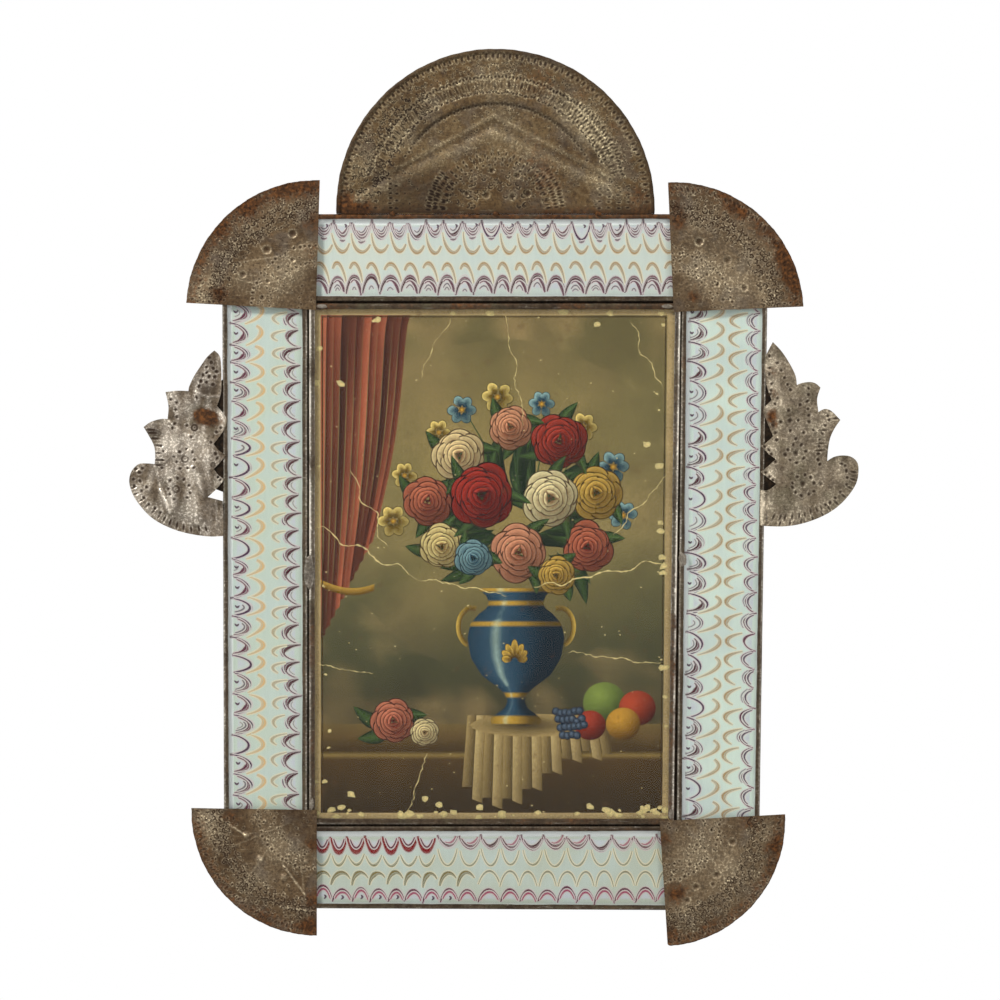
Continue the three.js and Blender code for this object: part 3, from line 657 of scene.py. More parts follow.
fox = node(tree, "TexNoise", {"Vector": place, "Scale": size(9), "Detail": 4.0, "Roughness": 0.6})
foxed = node(tree, "ValToRGB", {"Fac": fox}, [(0.62, 0.0), (0.78, 0.55)])
colour = node(tree, "MixRGB", {"Fac": foxed, "Color1": inked, "Color2": srgb("#5f4326")})
fibre = node(tree, "Bump", {"Strength": 0.3, "Distance": 0.1 * MM, "Height": stipple})
shader = node(tree, "BsdfPrincipled", {
    "Base Color": colour, "Roughness": 0.7, "Specular IOR Level": 0.08, "Normal": fibre,
})
node(tree, "OutputMaterial", {"Surface": shader})


def flat_sheet(name, node_name, inking, material):
    """One thin sheet: the inked face in front, with a plain back and edges."""
    place, corner, mixed = overlaid(inking.points, inking.faces, inking.inks)
    front, rear = depths_of(node_name)
    outline = corners_of(node_name)
    points = [(x, front, z) for x, z in place]
    points += [(x, y, z) for y in (front, rear) for x, z in outline]
    first = len(place)
    edges = [(i, (i + 1) % 4, 4 + (i + 1) % 4, 4 + i) for i in range(4)]
    rest = [tuple(first + i for i in face) for face in (*edges, (4, 5, 6, 7))]
    tint = np.ones((3 * len(corner) + 4 * len(rest), 4))
    tint[:, :3] = paper_ink
    tint[:3 * len(corner), :3] = mixed.reshape(-1, 3)
    return finished(name, points, corner.tolist() + rest, material, {"tint": tint},
                    replaced=node_name)


flat_sheet("flower_print", "picture_print", litho, chromolithograph)

# Glass: five panes of old window glass, cut with a wheel, clear and very slightly green. Lamps and the
# light of the room pass straight through to the paint and the print behind.
window_glass, tree = new_material("old_window_glass")
place = node(tree, "TexCoord").outputs["Object"]
waves = node(tree, "TexNoise", {"Vector": place, "Scale": size(40), "Detail": 2.0})
wavy = node(tree, "Bump", {"Strength": 0.05, "Distance": 0.2 * MM, "Height": waves})
glass = node(tree, "BsdfPrincipled", {
    "Base Color": srgb("#fdfefd"), "Roughness": 0.03, "IOR": 1.5, "Transmission Weight": 1.0,
    "Specular Tint": (0.22, 0.22, 0.22, 1), "Normal": wavy,
})
through = node(tree, "BsdfTransparent", {"Color": srgb("#fdfefd")})
ray = node(tree, "LightPath")
room = node(tree, "MixShader", {0: ray.outputs["Is Diffuse Ray"], 1: glass, 2: through})
lamps = node(tree, "MixShader", {0: ray.outputs["Is Shadow Ray"], 1: room, 2: through})
node(tree, "OutputMaterial", {"Surface": lamps})
for name in ("cover_glass", "top_pane", "right_pane", "bottom_pane", "left_pane"):
    coat(name, window_glass)

# Bindings: strips of tinplate folded over the edges of each stack with pliers and rubbed down, so their
# lips wander a little, their folds are rounded, and the fold and the cut edge are rubbed bright and carry
# a painted highlight.
sheet_thickness = 0.5
layer_inset = 0.8
window_lip = 4.2
panel_lip = 3.5
rear_lip = 6
fold_radius = 1.3
mitre_gap = 0.25
binding_step = 1.5
side_names = ("top", "right", "bottom", "left")


def grown(corners, distance):
    """A four-sided outline with each side moved outwards."""
    lines = []
    for start, end in zip(corners, corners[1:] + corners[:1]):
        along = (end - start) / np.hypot(*(end - start))
        lines.append((start + np.array((-along[1], along[0])) * distance, along))
    made = []
    for i in range(4):
        (p, u), (q, v) = lines[i - 1], lines[i]
        reach = ((q[0] - p[0]) * v[1] - (q[1] - p[1]) * v[0]) / (u[0] * v[1] - u[1] * v[0])
        made.append(p + u * reach)
    return made


def channel_profile(lip, front, rear):
    """Depth from the edge, y, share of the lip's wander, and the rubbing with painted highlight and the
    dirt of each line.
    """
    quarter = [(i / 5) * math.pi / 2 for i in range(6)]
    fold = [(fold_radius * (1 - math.cos(t)), front + fold_radius * (1 - math.sin(t))) for t in quarter]
    # The rounded fold is rubbed and carries a painted highlight along its crown
    lines = [(u, y, 0.15, 0.35 + 0.65 * (0 < i < 5), 0.0) for i, (u, y) in enumerate(fold)]
    inner = sheet_thickness
    lines += [
        (0.5 * lip, front + 0.02, 0.6, 0.05, 0.2), (0.8 * lip, front + 0.1, 0.9, 0.05, 0.35),
        (lip - 0.12, front + 0.22, 1, 0.2, 0.1), (lip, front + 0.34, 1, 0.1, 0.5),
        (lip - 0.05, front + inner + 0.2, 1, 0, 1), (0.5 * lip, front + inner + 0.05, 0.6, 0, 1),
        (fold_radius, front + inner, 0.3, 0, 1), (inner, front + fold_radius + 0.1, 0.1, 0, 1),
        (inner, rear - inner, 0, 0, 1), (rear_lip, rear - inner, 0, 0, 1),
        (rear_lip, rear, 0, 0.1, 0.2), (inner, rear, 0, 0.3, 0.1), (0, rear - 0.4, 0, 0.4, 0.1),
    ]
    return lines


def skinned(rows, columns, closes_up, closes_round):
    """Faces between points laid in rows, closed from last to first row or round each row."""
    faces = []
    for i in range(rows - (not closes_up)):
        row, after = i * columns, (i + 1) % rows * columns
        for k in range(columns - (not closes_round)):
            beside = (k + 1) % columns
            faces.append((row + k, row + beside, after + beside, after + k))
    return faces


def folded_channel(name, corners, side, lip, front, rear, seed, material, rust_at=lambda s: 0.0,
                   rub_and_highlight_at=lambda s: 0.6):
    profile = channel_profile(lip, front, rear)
    length = np.hypot(*(corners[(side + 1) % 4] - corners[side]))
    count = max(4, int(length / binding_step))
    share = np.linspace(0, 1, count + 1)
    wander = [0.3 * noise.noise((seed, s * length / 26, 0.5))
              + 0.12 * noise.noise((seed, s * length / 6, 4.5)) for s in share]
    dents = [0.16 * noise.noise((seed + 9.3, s * length / 9, 2.5))
             + 0.1 * noise.noise((seed, s * length / 3.4, 7.5)) for s in share]
    flat_place = [noise.noise((seed + 4.1, s * length / 22, 1.1)) for s in share]
    points, layers = [], {"pit": [], "rust": [], "wear_and_highlight": []}
    for depth, y, give, rub_and_highlight, dirty in profile:
        ring = grown(corners, -depth)
        start, end = ring[side], ring[(side + 1) % 4]
        along = (end - start) / np.hypot(*(end - start))
        start, end = start + along * mitre_gap, end - along * mitre_gap
        inward = np.array((along[1], -along[0]))
        for s, drift, dent, place in zip(share, wander, dents, flat_place):
            on_face = min(1, max(0, (front + 1 - y) / 0.6))
            x, z = start + (end - start) * s + inward * drift * give
            points.append((x, y + abs(dent) * on_face, z))
            layers["wear_and_highlight"].append(rub_and_highlight * rub_and_highlight_at(s) * (0.75 + 0.9 * place))
            layers["pit"].append(dirty * 0.8 + 0.5 * max(0, abs(dent) - 0.1) / 0.1 * on_face)
            speckle = 0.25 * noise.noise((seed + 2.2, s * length / 30, depth / 9))
            layers["rust"].append(rust_at(s) + speckle)
    lines, row = len(profile), count + 1
    faces = skinned(lines, row, True, False)
    faces += [tuple(range(0, lines * row, row)), tuple(reversed(range(count, lines * row, row)))]
    return finished(f"folded_{name}", points, faces, material, layers, replaced=name)


binding_tin = browned_tinplate("rubbed_binding_tinplate", "#2a1f14", "#4a3c2c", "#695b4a", "#efe7d6",
                               0.36, 0.46, 0.5)
window_corners = grown(corners_of("cover_glass"), layer_inset)
window_front, window_rear = depths_of("window_binding_top")
window_rust = {
    "top": lambda s: 0.24 + 0.2 * s, "right": lambda s: 0.14 + 0.3 * (s > 0.6),
    "bottom": lambda s: 0.34 - 0.34 * s, "left": lambda s: 0.26 * (s < 0.42),
}
# Painted highlight along the folds, strongest on the left and right bindings, on top of their wear
window_rub_and_highlight = {
    "top": lambda s: 0.05, "right": lambda s: 3.1 + 1.2 * (0.46 < s < 0.6),
    "bottom": lambda s: 0.1 + 0.3 * (s > 0.7), "left": lambda s: 3.4 if s > 0.43 else 0.9,
}
for side, name in enumerate(side_names):
    folded_channel(f"window_binding_{name}", window_corners, side, window_lip, window_front, window_rear,
                   3.1 + side, binding_tin, window_rust[name], window_rub_and_highlight[name])
for p, panel in enumerate(side_names):
    panel_corners = grown(corners_of(f"{panel}_pane"), layer_inset)
    for side, name in enumerate(side_names):
        node_name = f"{panel}_panel_binding_{name}"
        front, rear = depths_of(node_name)
        rusty = 0.62 if node_name == "top_panel_binding_top" else 0.08
        # The side panels' bindings get more rub and painted highlight than the top and bottom ones
        rub_and_highlight = 0.1 if panel in ("top", "bottom") else 0.8
        folded_channel(node_name, panel_corners, side, panel_lip, front, rear, 11.7 + 4 * p + side,
                       binding_tin, lambda s, rusty=rusty: rusty, lambda s, rub_and_highlight=rub_and_highlight: rub_and_highlight)

# Painted glass: pale oil paint combed while wet into rows of scallops. Wine and maroon teeth marks stand
# along the edges, ochre hooks reach towards the clear band in the middle, and each stroke is streaked.
def bell(share, power=2):
    return np.exp(-share ** power)


class Combing:
    """Strokes on one panel, from places along and in from a lip, in millimetres."""
    overrun = 1.3
    pressed_out = 1.7
    blush_rim = 1.3
    cream_rim = 1.8

    def __init__(self, corners, edge, seed):
        first, last, back = {"top": (0, 1, 1), "bottom": (3, 2, -1), "left": (0, 3, -1),
                             "right": (1, 2, 1)}[edge]
        self.start = corners[first]
        self.along = corners[last] - corners[first]
        self.length = np.hypot(*self.along)
        self.along /= self.length
        self.inward = np.array((self.along[1], -self.along[0])) * back
        self.rng = np.random.default_rng(seed)

    def place(self, s, t):
        return self.start + np.outer(s, self.along) + np.outer(t, self.inward)

    def on_sheet(self, s):
        return (s > -self.overrun) & (s < self.length + self.overrun)

    def stroke(self, sheet, s, t, wide, tint, load):
        kept = self.on_sheet(s)
        if kept.sum() < 3:
            return
        line = self.place(s[kept], t[kept])
        step = np.gradient(line, axis=0)
        step /= np.hypot(*step.T)[:, None]
        across = np.column_stack([-step[:, 1], step[:, 0]]) * (wide[kept] / 2)[:, None]
        run = np.concatenate([[0], np.cumsum(np.hypot(*np.diff(line, axis=0).T))])
        run = run + self.rng.uniform(0, 900)
        sheet.band(line + across, line - across, [(*tint, load, r, 1) for r in run],
                   [(*tint, load, r, -1) for r in run])

    def tooth(self, sheet, s0, s1, cusp, apex, mark):
        """One tooth's track round a scallop: an arch that swells where the comb was pressed."""
        inset, thin, thick, at, spread, tint, load, start, end, full, skew = mark
        start, end = start + self.rng.uniform(0, 0.03), end - self.rng.uniform(0, 0.03)
        u = start + (end - start) * (0.5 - 0.5 * np.cos(np.linspace(0, math.pi, 17)))
        s = s0 + inset * 0.55 + (s1 - s0 - inset * 1.1) * (u + skew * np.sin(math.pi * u))
        t = cusp + (apex - inset - cusp) * np.sin(math.pi * u) ** full
        t += 0.2 * self.rng.normal(0, 1, len(u)).cumsum() / 3
        wide = thin + (thick - thin) * bell((u - at) / spread)
        wide = self.pressed_out * wide * np.clip(np.minimum(u - start, end - u) / 0.05 + 0.55, 0.55, 1)
        self.stroke(sheet, s, t, wide + self.blush_rim, blush_fringe, 0.7 * load)
        if thick > 1.7 and tint != red:
            self.stroke(sheet, s, t, wide, 0.55 * ink(tint) + 0.45 * blush, 1)
            self.stroke(sheet, s, t - 0.18 * wide, 0.6 * wide, ink(tint), 1)
        else:
            self.stroke(sheet, s, t, wide, ink(tint), load)

    def hook(self, sheet, s0, pitch, route, widths, tint, load):
        """A hooked stroke laid by one turn of the comb, from four guide points along and in."""
        v = np.linspace(0, 1, 15)
        weights = np.column_stack([(1 - v) ** 3, 3 * v * (1 - v) ** 2, 3 * v ** 2 * (1 - v), v ** 3])
        guide = np.array(route) + self.rng.normal(0, 1, (4, 2)) * (0.03, 0.55)
        u, t = (weights @ guide).T
        start, thick, at, finish = widths
        wide = np.interp(v, (0, at, 1), (start, thick, finish))
        wide = wide * (1 + 0.1 * np.sin(v * 9 + self.rng.uniform(0, 6)))
        self.stroke(sheet, s0 + pitch * u, t, wide + self.cream_rim, cream_fringe, 0.7)
        self.stroke(sheet, s0 + pitch * u, t, wide, ink(tint), load)
        self.stroke(sheet, s0 + pitch * u, t - 0.12 * wide, 0.18 * wide + 0.2, 0.8 * ink(tint), 0.65)

    def row(self, sheet, pitch, cusp, apex, teeth, hooks, lip_light_load, first=0.0, low=0.0, high=None,
            comma=None, full=0.55, skew=0.0):
        """Scallops side by side along the lip, from low to high, each with its teeth marks and hook."""
        s0, high = low + first * pitch, high or self.length
        ends = np.array([max(low - 4, -self.overrun), min(high + 4, self.length + self.overrun)])
        # Painted light: a near-white band of ground along the lip, as wide as the lip's shadow, lifts that
        # shadow
        shade = 4.2 if lip_light_load > 0.95 else 5.5 * lip_light_load - 1.9
        full_load, bare = (*painted_lip_light, lip_light_load, 0, 0), (*painted_lip_light, 0, 0, 0)
        lip, plateau, fade = (self.place(ends, np.full(2, t)) for t in (-1.5, shade - 1.2, shade + 0.5))
        sheet.band(lip, plateau, full_load, full_load)
        sheet.band(plateau, fade, full_load, bare)
        while s0 < high - 0.3 * pitch:
            step = pitch * self.rng.uniform(0.88, 1.12)
            s1 = s0 + step
            top = apex + self.rng.normal(0, 0.8)
            rim = np.linspace(0.06, 0.94, 11)
            rim = rim[self.on_sheet(s0 + step * rim)]
            arch = self.place(s0 + step * rim, cusp + (top - 1 - cusp) * np.sin(math.pi * rim) ** full)
            if len(rim) > 2:
                heart = self.place(np.array([s0 + step * rim.mean()]), np.array([0.5 * (cusp + top)]))[0]
                sheet.fan(arch, (*lavender_wash, 0.1, 0, 0), tuple(heart), (*lavender_wash, 0.85, 0, 0))
            for mark in teeth:
                *track, chance = mark
                if self.rng.random() < chance:
                    self.tooth(sheet, s0, s1, cusp, top, (*track, full, skew))
            if comma and self.rng.random() < 0.6:
                at, deep, long = comma
                v = np.linspace(0, 1, 7)
                s = s0 + step * (at + self.rng.normal(0, 0.03)) + 0.5 * long * np.sin(v * 3)
                t = deep + long * (v - 0.5) + self.rng.normal(0, 0.3)
                self.stroke(sheet, s, t, 1.6 * np.sin(v * math.pi) ** 0.6 + 0.3, ink(plum), 0.95)
            route, widths, tint, load = hooks[self.rng.choice(len(hooks))]
            self.hook(sheet, s0, step, route, widths, tint, load)
            s0 = s1


blush_fringe = ink("#d6aab4")
blush = ink("#8a3d5a")
cream_fringe = ink("#e6d3ab")
# Near-white paint laid as painted light where the lips shade the ground
painted_lip_light = ink("#fbfdfa")
lavender_wash = ink("#c4c3cd")
plum, wine, maroon, red, pink = "#48183d", "#5b1132", "#480d1e", "#7d040d", "#9c3f5c"
ochre, pale_ochre, tan, olive, dark_olive = "#a67f46", "#d6a765", "#ad8750", "#7f6f34", "#77642a"
# A tooth mark is: inset, thin, thick, where and how long it swells, colour, load, start, end, chance.
# A hook is: its guide points along and in, start, swell, where and finish of its width, colour, load.
top_upper = [(0, 0.6, 1.2, 0.45, 0.3, plum, 1, 0, 1, 1),
             (1.6, 0.55, 1.9, 0.6, 0.2, maroon, 1, 0.03, 0.97, 0.9),
             (3.1, 0.45, 1.0, 0.62, 0.2, wine, 0.9, 0.15, 0.92, 0.7),
             (4.8, 0.4, 0.7, 0.6, 0.2, plum, 0.8, 0.25, 0.9, 0.6),
             (-1.7, 0.4, 1.1, 0.5, 0.1, wine, 0.8, 0.36, 0.66, 0.6)]
top_lower = [(-1.6, 0.4, 0.8, 0.45, 0.3, wine, 0.85, 0.1, 0.9, 0.9),
             (0, 0.9, 2.6, 0.52, 0.3, maroon, 1, 0, 1, 1),
             (1.9, 0.5, 1.5, 0.84, 0.2, wine, 0.95, 0.25, 1, 0.9),
             (5.0, 0.4, 0.7, 0.5, 0.3, plum, 0.8, 0.15, 0.9, 0.7),
             (7.2, 0.4, 0.7, 0.5, 0.3, plum, 0.7, 0.15, 0.85, 0.5)]
left_outer = [(-1.3, 0.4, 0.7, 0.6, 0.3, plum, 0.8, 0.25, 0.97, 0.5),
              (0, 0.6, 1.3, 0.6, 0.3, plum, 1, 0, 1, 1),
              (1.9, 0.6, 2.7, 0.64, 0.17, wine, 1, 0.05, 0.98, 0.8),
              (4.0, 0.45, 0.9, 0.6, 0.3, plum, 0.8, 0.25, 0.95, 0.6),
              (6.4, 0.35, 0.6, 0.6, 0.3, plum, 0.6, 0.2, 0.9, 0.4)]
left_inner = [(-1.7, 0.45, 0.9, 0.35, 0.2, plum, 0.95, 0.08, 0.75, 0.95),
              (0.3, 0.6, 3.0, 0.3, 0.22, maroon, 1, 0, 1, 1),
              (3.4, 0.35, 0.5, 0.5, 0.3, plum, 0.6, 0.25, 0.9, 0.7)]
right_inner = [(-0.6, 0.55, 1.0, 0.4, 0.3, plum, 1, 0, 1, 1),
               (0.9, 0.45, 0.8, 0.5, 0.3, plum, 0.8, 0.15, 0.97, 0.6),
               (2.6, 0.6, 2.9, 0.66, 0.2, maroon, 1, 0.2, 1, 0.8),
               (5.0, 0.4, 0.7, 0.6, 0.3, plum, 0.7, 0.25, 0.97, 0.7)]
right_outer = [(0, 0.55, 1.4, 0.34, 0.22, wine, 1, 0, 1, 1),
               (1.6, 0.45, 1.0, 0.4, 0.25, plum, 0.95, 0.03, 0.88, 0.95),
               (-1.6, 0.4, 0.7, 0.35, 0.2, plum, 0.7, 0.1, 0.75, 0.6)]
bottom_red = [(-1.9, 0.5, 0.9, 0.5, 0.3, pink, 0.9, 0.1, 0.9, 1), (0, 0.9, 2.9, 0.5, 0.34, red, 1, 0, 1, 1),
              (3.0, 0.55, 0.9, 0.5, 0.3, wine, 1, 0.04, 0.96, 1)]
bottom_wine = [(0, 0.6, 1.4, 0.65, 0.25, wine, 1, 0, 1, 1),
               (1.6, 0.6, 1.8, 0.6, 0.25, maroon, 1, 0.05, 0.96, 1),
               (3.1, 0.45, 1.0, 0.72, 0.2, pink, 0.85, 0.3, 0.98, 0.8)]
bottom_low = [(0, 0.6, 1.6, 0.4, 0.3, wine, 1, 0, 1, 1), (1.8, 0.5, 1.1, 0.45, 0.3, pink, 1, 0.05, 0.97, 1)]
top_hooks = [([(0, 9.5), (0.04, 20), (0.52, 29.5), (0.9, 18)], (0.5, 3.3, 0.62, 1.3), ochre, 0.95)]
top_arches = [([(0.24, 18.8), (0.45, 27.5), (0.86, 22), (1.02, 9)], (1.5, 3.2, 0.35, 0.7), ochre, 0.95)]
left_comma = ([(0.1, 20), (0.36, 28.5), (0.74, 24), (1.03, 12.5)], (1.8, 3.8, 0.4, 0.7), pale_ochre, 0.9)
long_comma = ([(0.0, 15), (0.22, 26), (0.72, 30), (1.02, 12.5)], (0.6, 3.8, 0.55, 0.7), pale_ochre, 0.9)
left_commas = [left_comma] * 3 + [long_comma]
left_crescents = [([(0.02, 11), (0.1, 19), (0.34, 25), (0.66, 17)], (0.5, 2.8, 0.6, 0.6), tan, 0.75)]
right_commas = [([(0.1, 21.5), (0.4, 30), (0.76, 24), (1.04, 9.5)], (1.4, 3.4, 0.4, 0.6), tan, 0.9)]
right_hooks = [([(0, 10), (0.14, 20), (0.45, 28), (0.84, 16)], (0.6, 3.8, 0.56, 0.5), ochre, 0.95)]
olive_cups = [([(0.06, 17.2), (0.28, 26), (0.66, 27.5), (0.96, 16.5)], (0.6, 2.0, 0.6, 0.7), olive, 0.95)]
olive_double = [([(0.05, 12.6), (0.22, 27), (0.72, 29), (0.95, 13)], (0.5, 1.5, 0.65, 0.5), olive, 0.9)]
olive_caps = [
    ([(-0.02, 12.6), (0.08, 22), (0.55, 25), (0.86, 17.6)], (1.2, 4.0, 0.4, 0.7), dark_olive, 1),
]
olive_arches = [
    ([(0.02, 12.6), (0.22, 26.5), (0.78, 26.5), (0.98, 12.6)], (0.5, 1.6, 0.5, 0.5), dark_olive, 0.9),
]
red_end = 82
combed_rows = {
    "top": [("top", 13.0, -0.7, 12.6, top_upper, top_hooks, {"comma": (0.62, 4.6, 2.4)}),
            ("bottom", 13.0, 0.0, 12.9, top_lower, top_arches, {"first": -0.3})],
    "left": [("left", 13.7, -0.5, 14.8, left_outer, left_commas,
              {"comma": (0.4, 6.0, 3.2), "full": 0.5, "skew": 0.05}),
             ("right", 13.3, -0.3, 11.6, left_inner, left_crescents,
              {"first": -0.4, "full": 0.5, "skew": -0.06})],
    "right": [("left", 14.4, -0.3, 13.2, right_inner, right_commas,
               {"comma": (0.45, 4.2, 2.6), "full": 0.5, "skew": 0.04}),
              ("right", 13.6, -0.5, 9.6, right_outer, right_hooks,
               {"first": -0.5, "full": 0.5, "skew": -0.06})],
    "bottom": [("top", 12.1, 3.2, 13.9, bottom_red, olive_cups, {"high": red_end, "full": 0.75}),
               ("top", 14.7, 1.4, 12.6, bottom_wine, olive_double, {"low": red_end, "first": 0.3}),
               ("bottom", 12.6, -0.5, 9.9, bottom_low, olive_caps,
                {"high": red_end + 30, "comma": (0.5, 4.4, 3.0)}),
               ("bottom", 14.2, -0.5, 10.4, bottom_low, olive_arches, {"low": red_end + 30, "first": 0.2})],
}
grounds = {"top": "#cdd2c6", "left": "#c2cdbd", "right": "#d4e1d3", "bottom": "#bac0b0"}


def combed_oil_paint(name, ground_colour):
    """Oil paint brushed on the glass and combed: the streaks run along each stroke and thin out at its
    edges. Points carry tint, load, run along and side across the stroke; the rest is plain ground."""
    material, tree = new_material(name)
    place = node(tree, "TexCoord").outputs["Object"]
    tint = node(tree, "Attribute", attribute_name="tint").outputs["Color"]
    load, run, side = (
        node(tree, "Attribute", attribute_name=layer).outputs["Fac"] for layer in ("load", "run", "side")
    )
    drift = node(tree, "TexNoise", {"Vector": place, "Scale": size(38), "Detail": 3.0})
    drift = node(tree, "ValToRGB", {"Fac": drift}, [(0.4, 0.0), (0.62, 0.6)])
    ground = node(tree, "MixRGB", {"Fac": drift, "Color1": srgb(ground_colour), "Color2": srgb("#c1cdc8")})
    # Bristle marks and comb streaks are finer on the real paint; they are drawn coarse enough to show
    brush = node(tree, "Mapping", {"Vector": place, "Scale": (1, 1, 0.12)})
    brushed = node(tree, "TexNoise", {"Vector": brush, "Scale": size(1.6), "Detail": 2.0})
    brushed = node(tree, "MapRange", {"Value": brushed, "To Min": 0.94, "To Max": 1.06})
    ground = node(tree, "VectorMath", {0: ground, "Scale": brushed}, operation="SCALE")
    lanes = node(tree, "CombineXYZ", {"X": run, "Y": side})
    lanes = node(tree, "Mapping", {"Vector": lanes, "Scale": (0.16, 2.6, 1)})
    streak = node(tree, "TexNoise", {"Vector": lanes, "Scale": 1.0, "Detail": 3.0, "Roughness": 0.6})
    streak = node(tree, "MapRange", {
        "Value": streak, "From Min": 0.3, "From Max": 0.55, "To Min": 0.88, "To Max": 1.0,
    })
    away = node(tree, "Math", {0: side, 1: side}, operation="MULTIPLY")
    away = node(tree, "Math", {0: away, 1: away}, operation="MULTIPLY")
    body = node(tree, "Math", {0: 1.0, 1: away}, operation="SUBTRACT")
    cover = node(tree, "Math", {0: body, 1: streak}, operation="MULTIPLY")
    cover = node(tree, "Math", {0: cover, 1: load}, operation="MULTIPLY", use_clamp=True)
    colour = node(tree, "MixRGB", {"Fac": cover, "Color1": ground, "Color2": tint})
    ridge = node(tree, "Bump", {"Strength": 0.3, "Distance": 0.1 * MM, "Height": cover})
    shader = node(tree, "BsdfPrincipled", {
        "Base Color": colour, "Roughness": 0.5, "Specular IOR Level": 0.1, "Normal": ridge,
    })
    node(tree, "OutputMaterial", {"Surface": shader})
    return material


stroke_gap = 0.06
for number, (panel, rows) in enumerate(combed_rows.items()):
    paint = combed_oil_paint(f"combed_oil_paint_{panel}", grounds[panel])
    coat(f"{panel}_painted_sheet", paint)
    lips = grown(corners_of(f"{panel}_pane"), layer_inset - panel_lip)
    strokes = Inking()
    for k, (edge, pitch, cusp, apex, teeth, hooks, extra) in enumerate(rows):
        # The top and left lips cast the deepest shadow, so their painted light is strongest
        lip_light_load = {"top": 0.96, "left": 0.94}.get(edge, 0.5)
        combing = Combing(lips, edge, 40 + 7 * number + k)
        combing.row(strokes, pitch, cusp, apex, teeth, hooks, lip_light_load, **extra)
    place, corner, mixed = overlaid(strokes.points, strokes.faces, strokes.inks)
    level = depths_of(f"{panel}_painted_sheet")[0] - stroke_gap
    mixed = mixed.reshape(-1, 6)
    layers = {"tint": np.column_stack([mixed[:, :3], np.ones(len(mixed))]),
              "load": mixed[:, 3], "run": mixed[:, 4], "side": mixed[:, 5]}
    finished(f"{panel}_combing", [(x, level, z) for x, z in place], corner.tolist(), paint,
             layers)

# Corner pieces: quarter rounds cut from tinplate and worked from the front with dots, gouges, a slanted
# chisel and a round punch, then soldered over the joints of the panels. The lower left one was fitted
# face down, so its marks stand up.
corner_spacing = 0.52
back_spacing = 1.4
punch_limit = 0.38
missed_blows = 0.07
row_size, row_force = 1.12, 1.15


def spaced(outline, step):
    points = []
    for start, end in zip(outline, np.roll(outline, -1, axis=0)):
        count = max(1, round(float(np.hypot(*(end - start))) / step))
        points += [start + (end - start) * i / count for i in range(count)]
    return np.array(points)


def filled(rim, spacing, rng):
    low, high = rim.min(0), rim.max(0)
    row = spacing * math.sqrt(3) / 2
    x, z = np.meshgrid(np.arange(low[0], high[0], spacing), np.arange(low[1], high[1], row))
    x = x + (np.arange(len(x)) % 2)[:, None] * spacing / 2
    grid = np.column_stack([x.ravel(), z.ravel()])
    grid += rng.uniform(-0.12, 0.12, grid.shape) * spacing
    inside = np.zeros(len(grid), bool)
    clear = np.full(len(grid), np.inf)
    for start, end in zip(rim, np.roll(rim, -1, axis=0)):
        side = end - start
        offset = grid - start
        share = np.clip(offset @ side / (side @ side), 0, 1)
        clear = np.minimum(clear, np.hypot(*(offset - share[:, None] * side).T))
        if side[1]:
            crosses = (start[1] > grid[:, 1]) != (end[1] > grid[:, 1])
            inside ^= crosses & (grid[:, 0] < start[0] + side[0] * offset[:, 1] / side[1])
    return grid[inside & (clear > 0.55 * spacing)]


def triangles(rim, inner):
    points = [Vector(p) for p in np.vstack([rim, inner])]
    made = delaunay_2d_cdt(points, [], [list(range(len(rim)))], 1, 1e-7)
    return np.array([list(f) for f in made[2]])


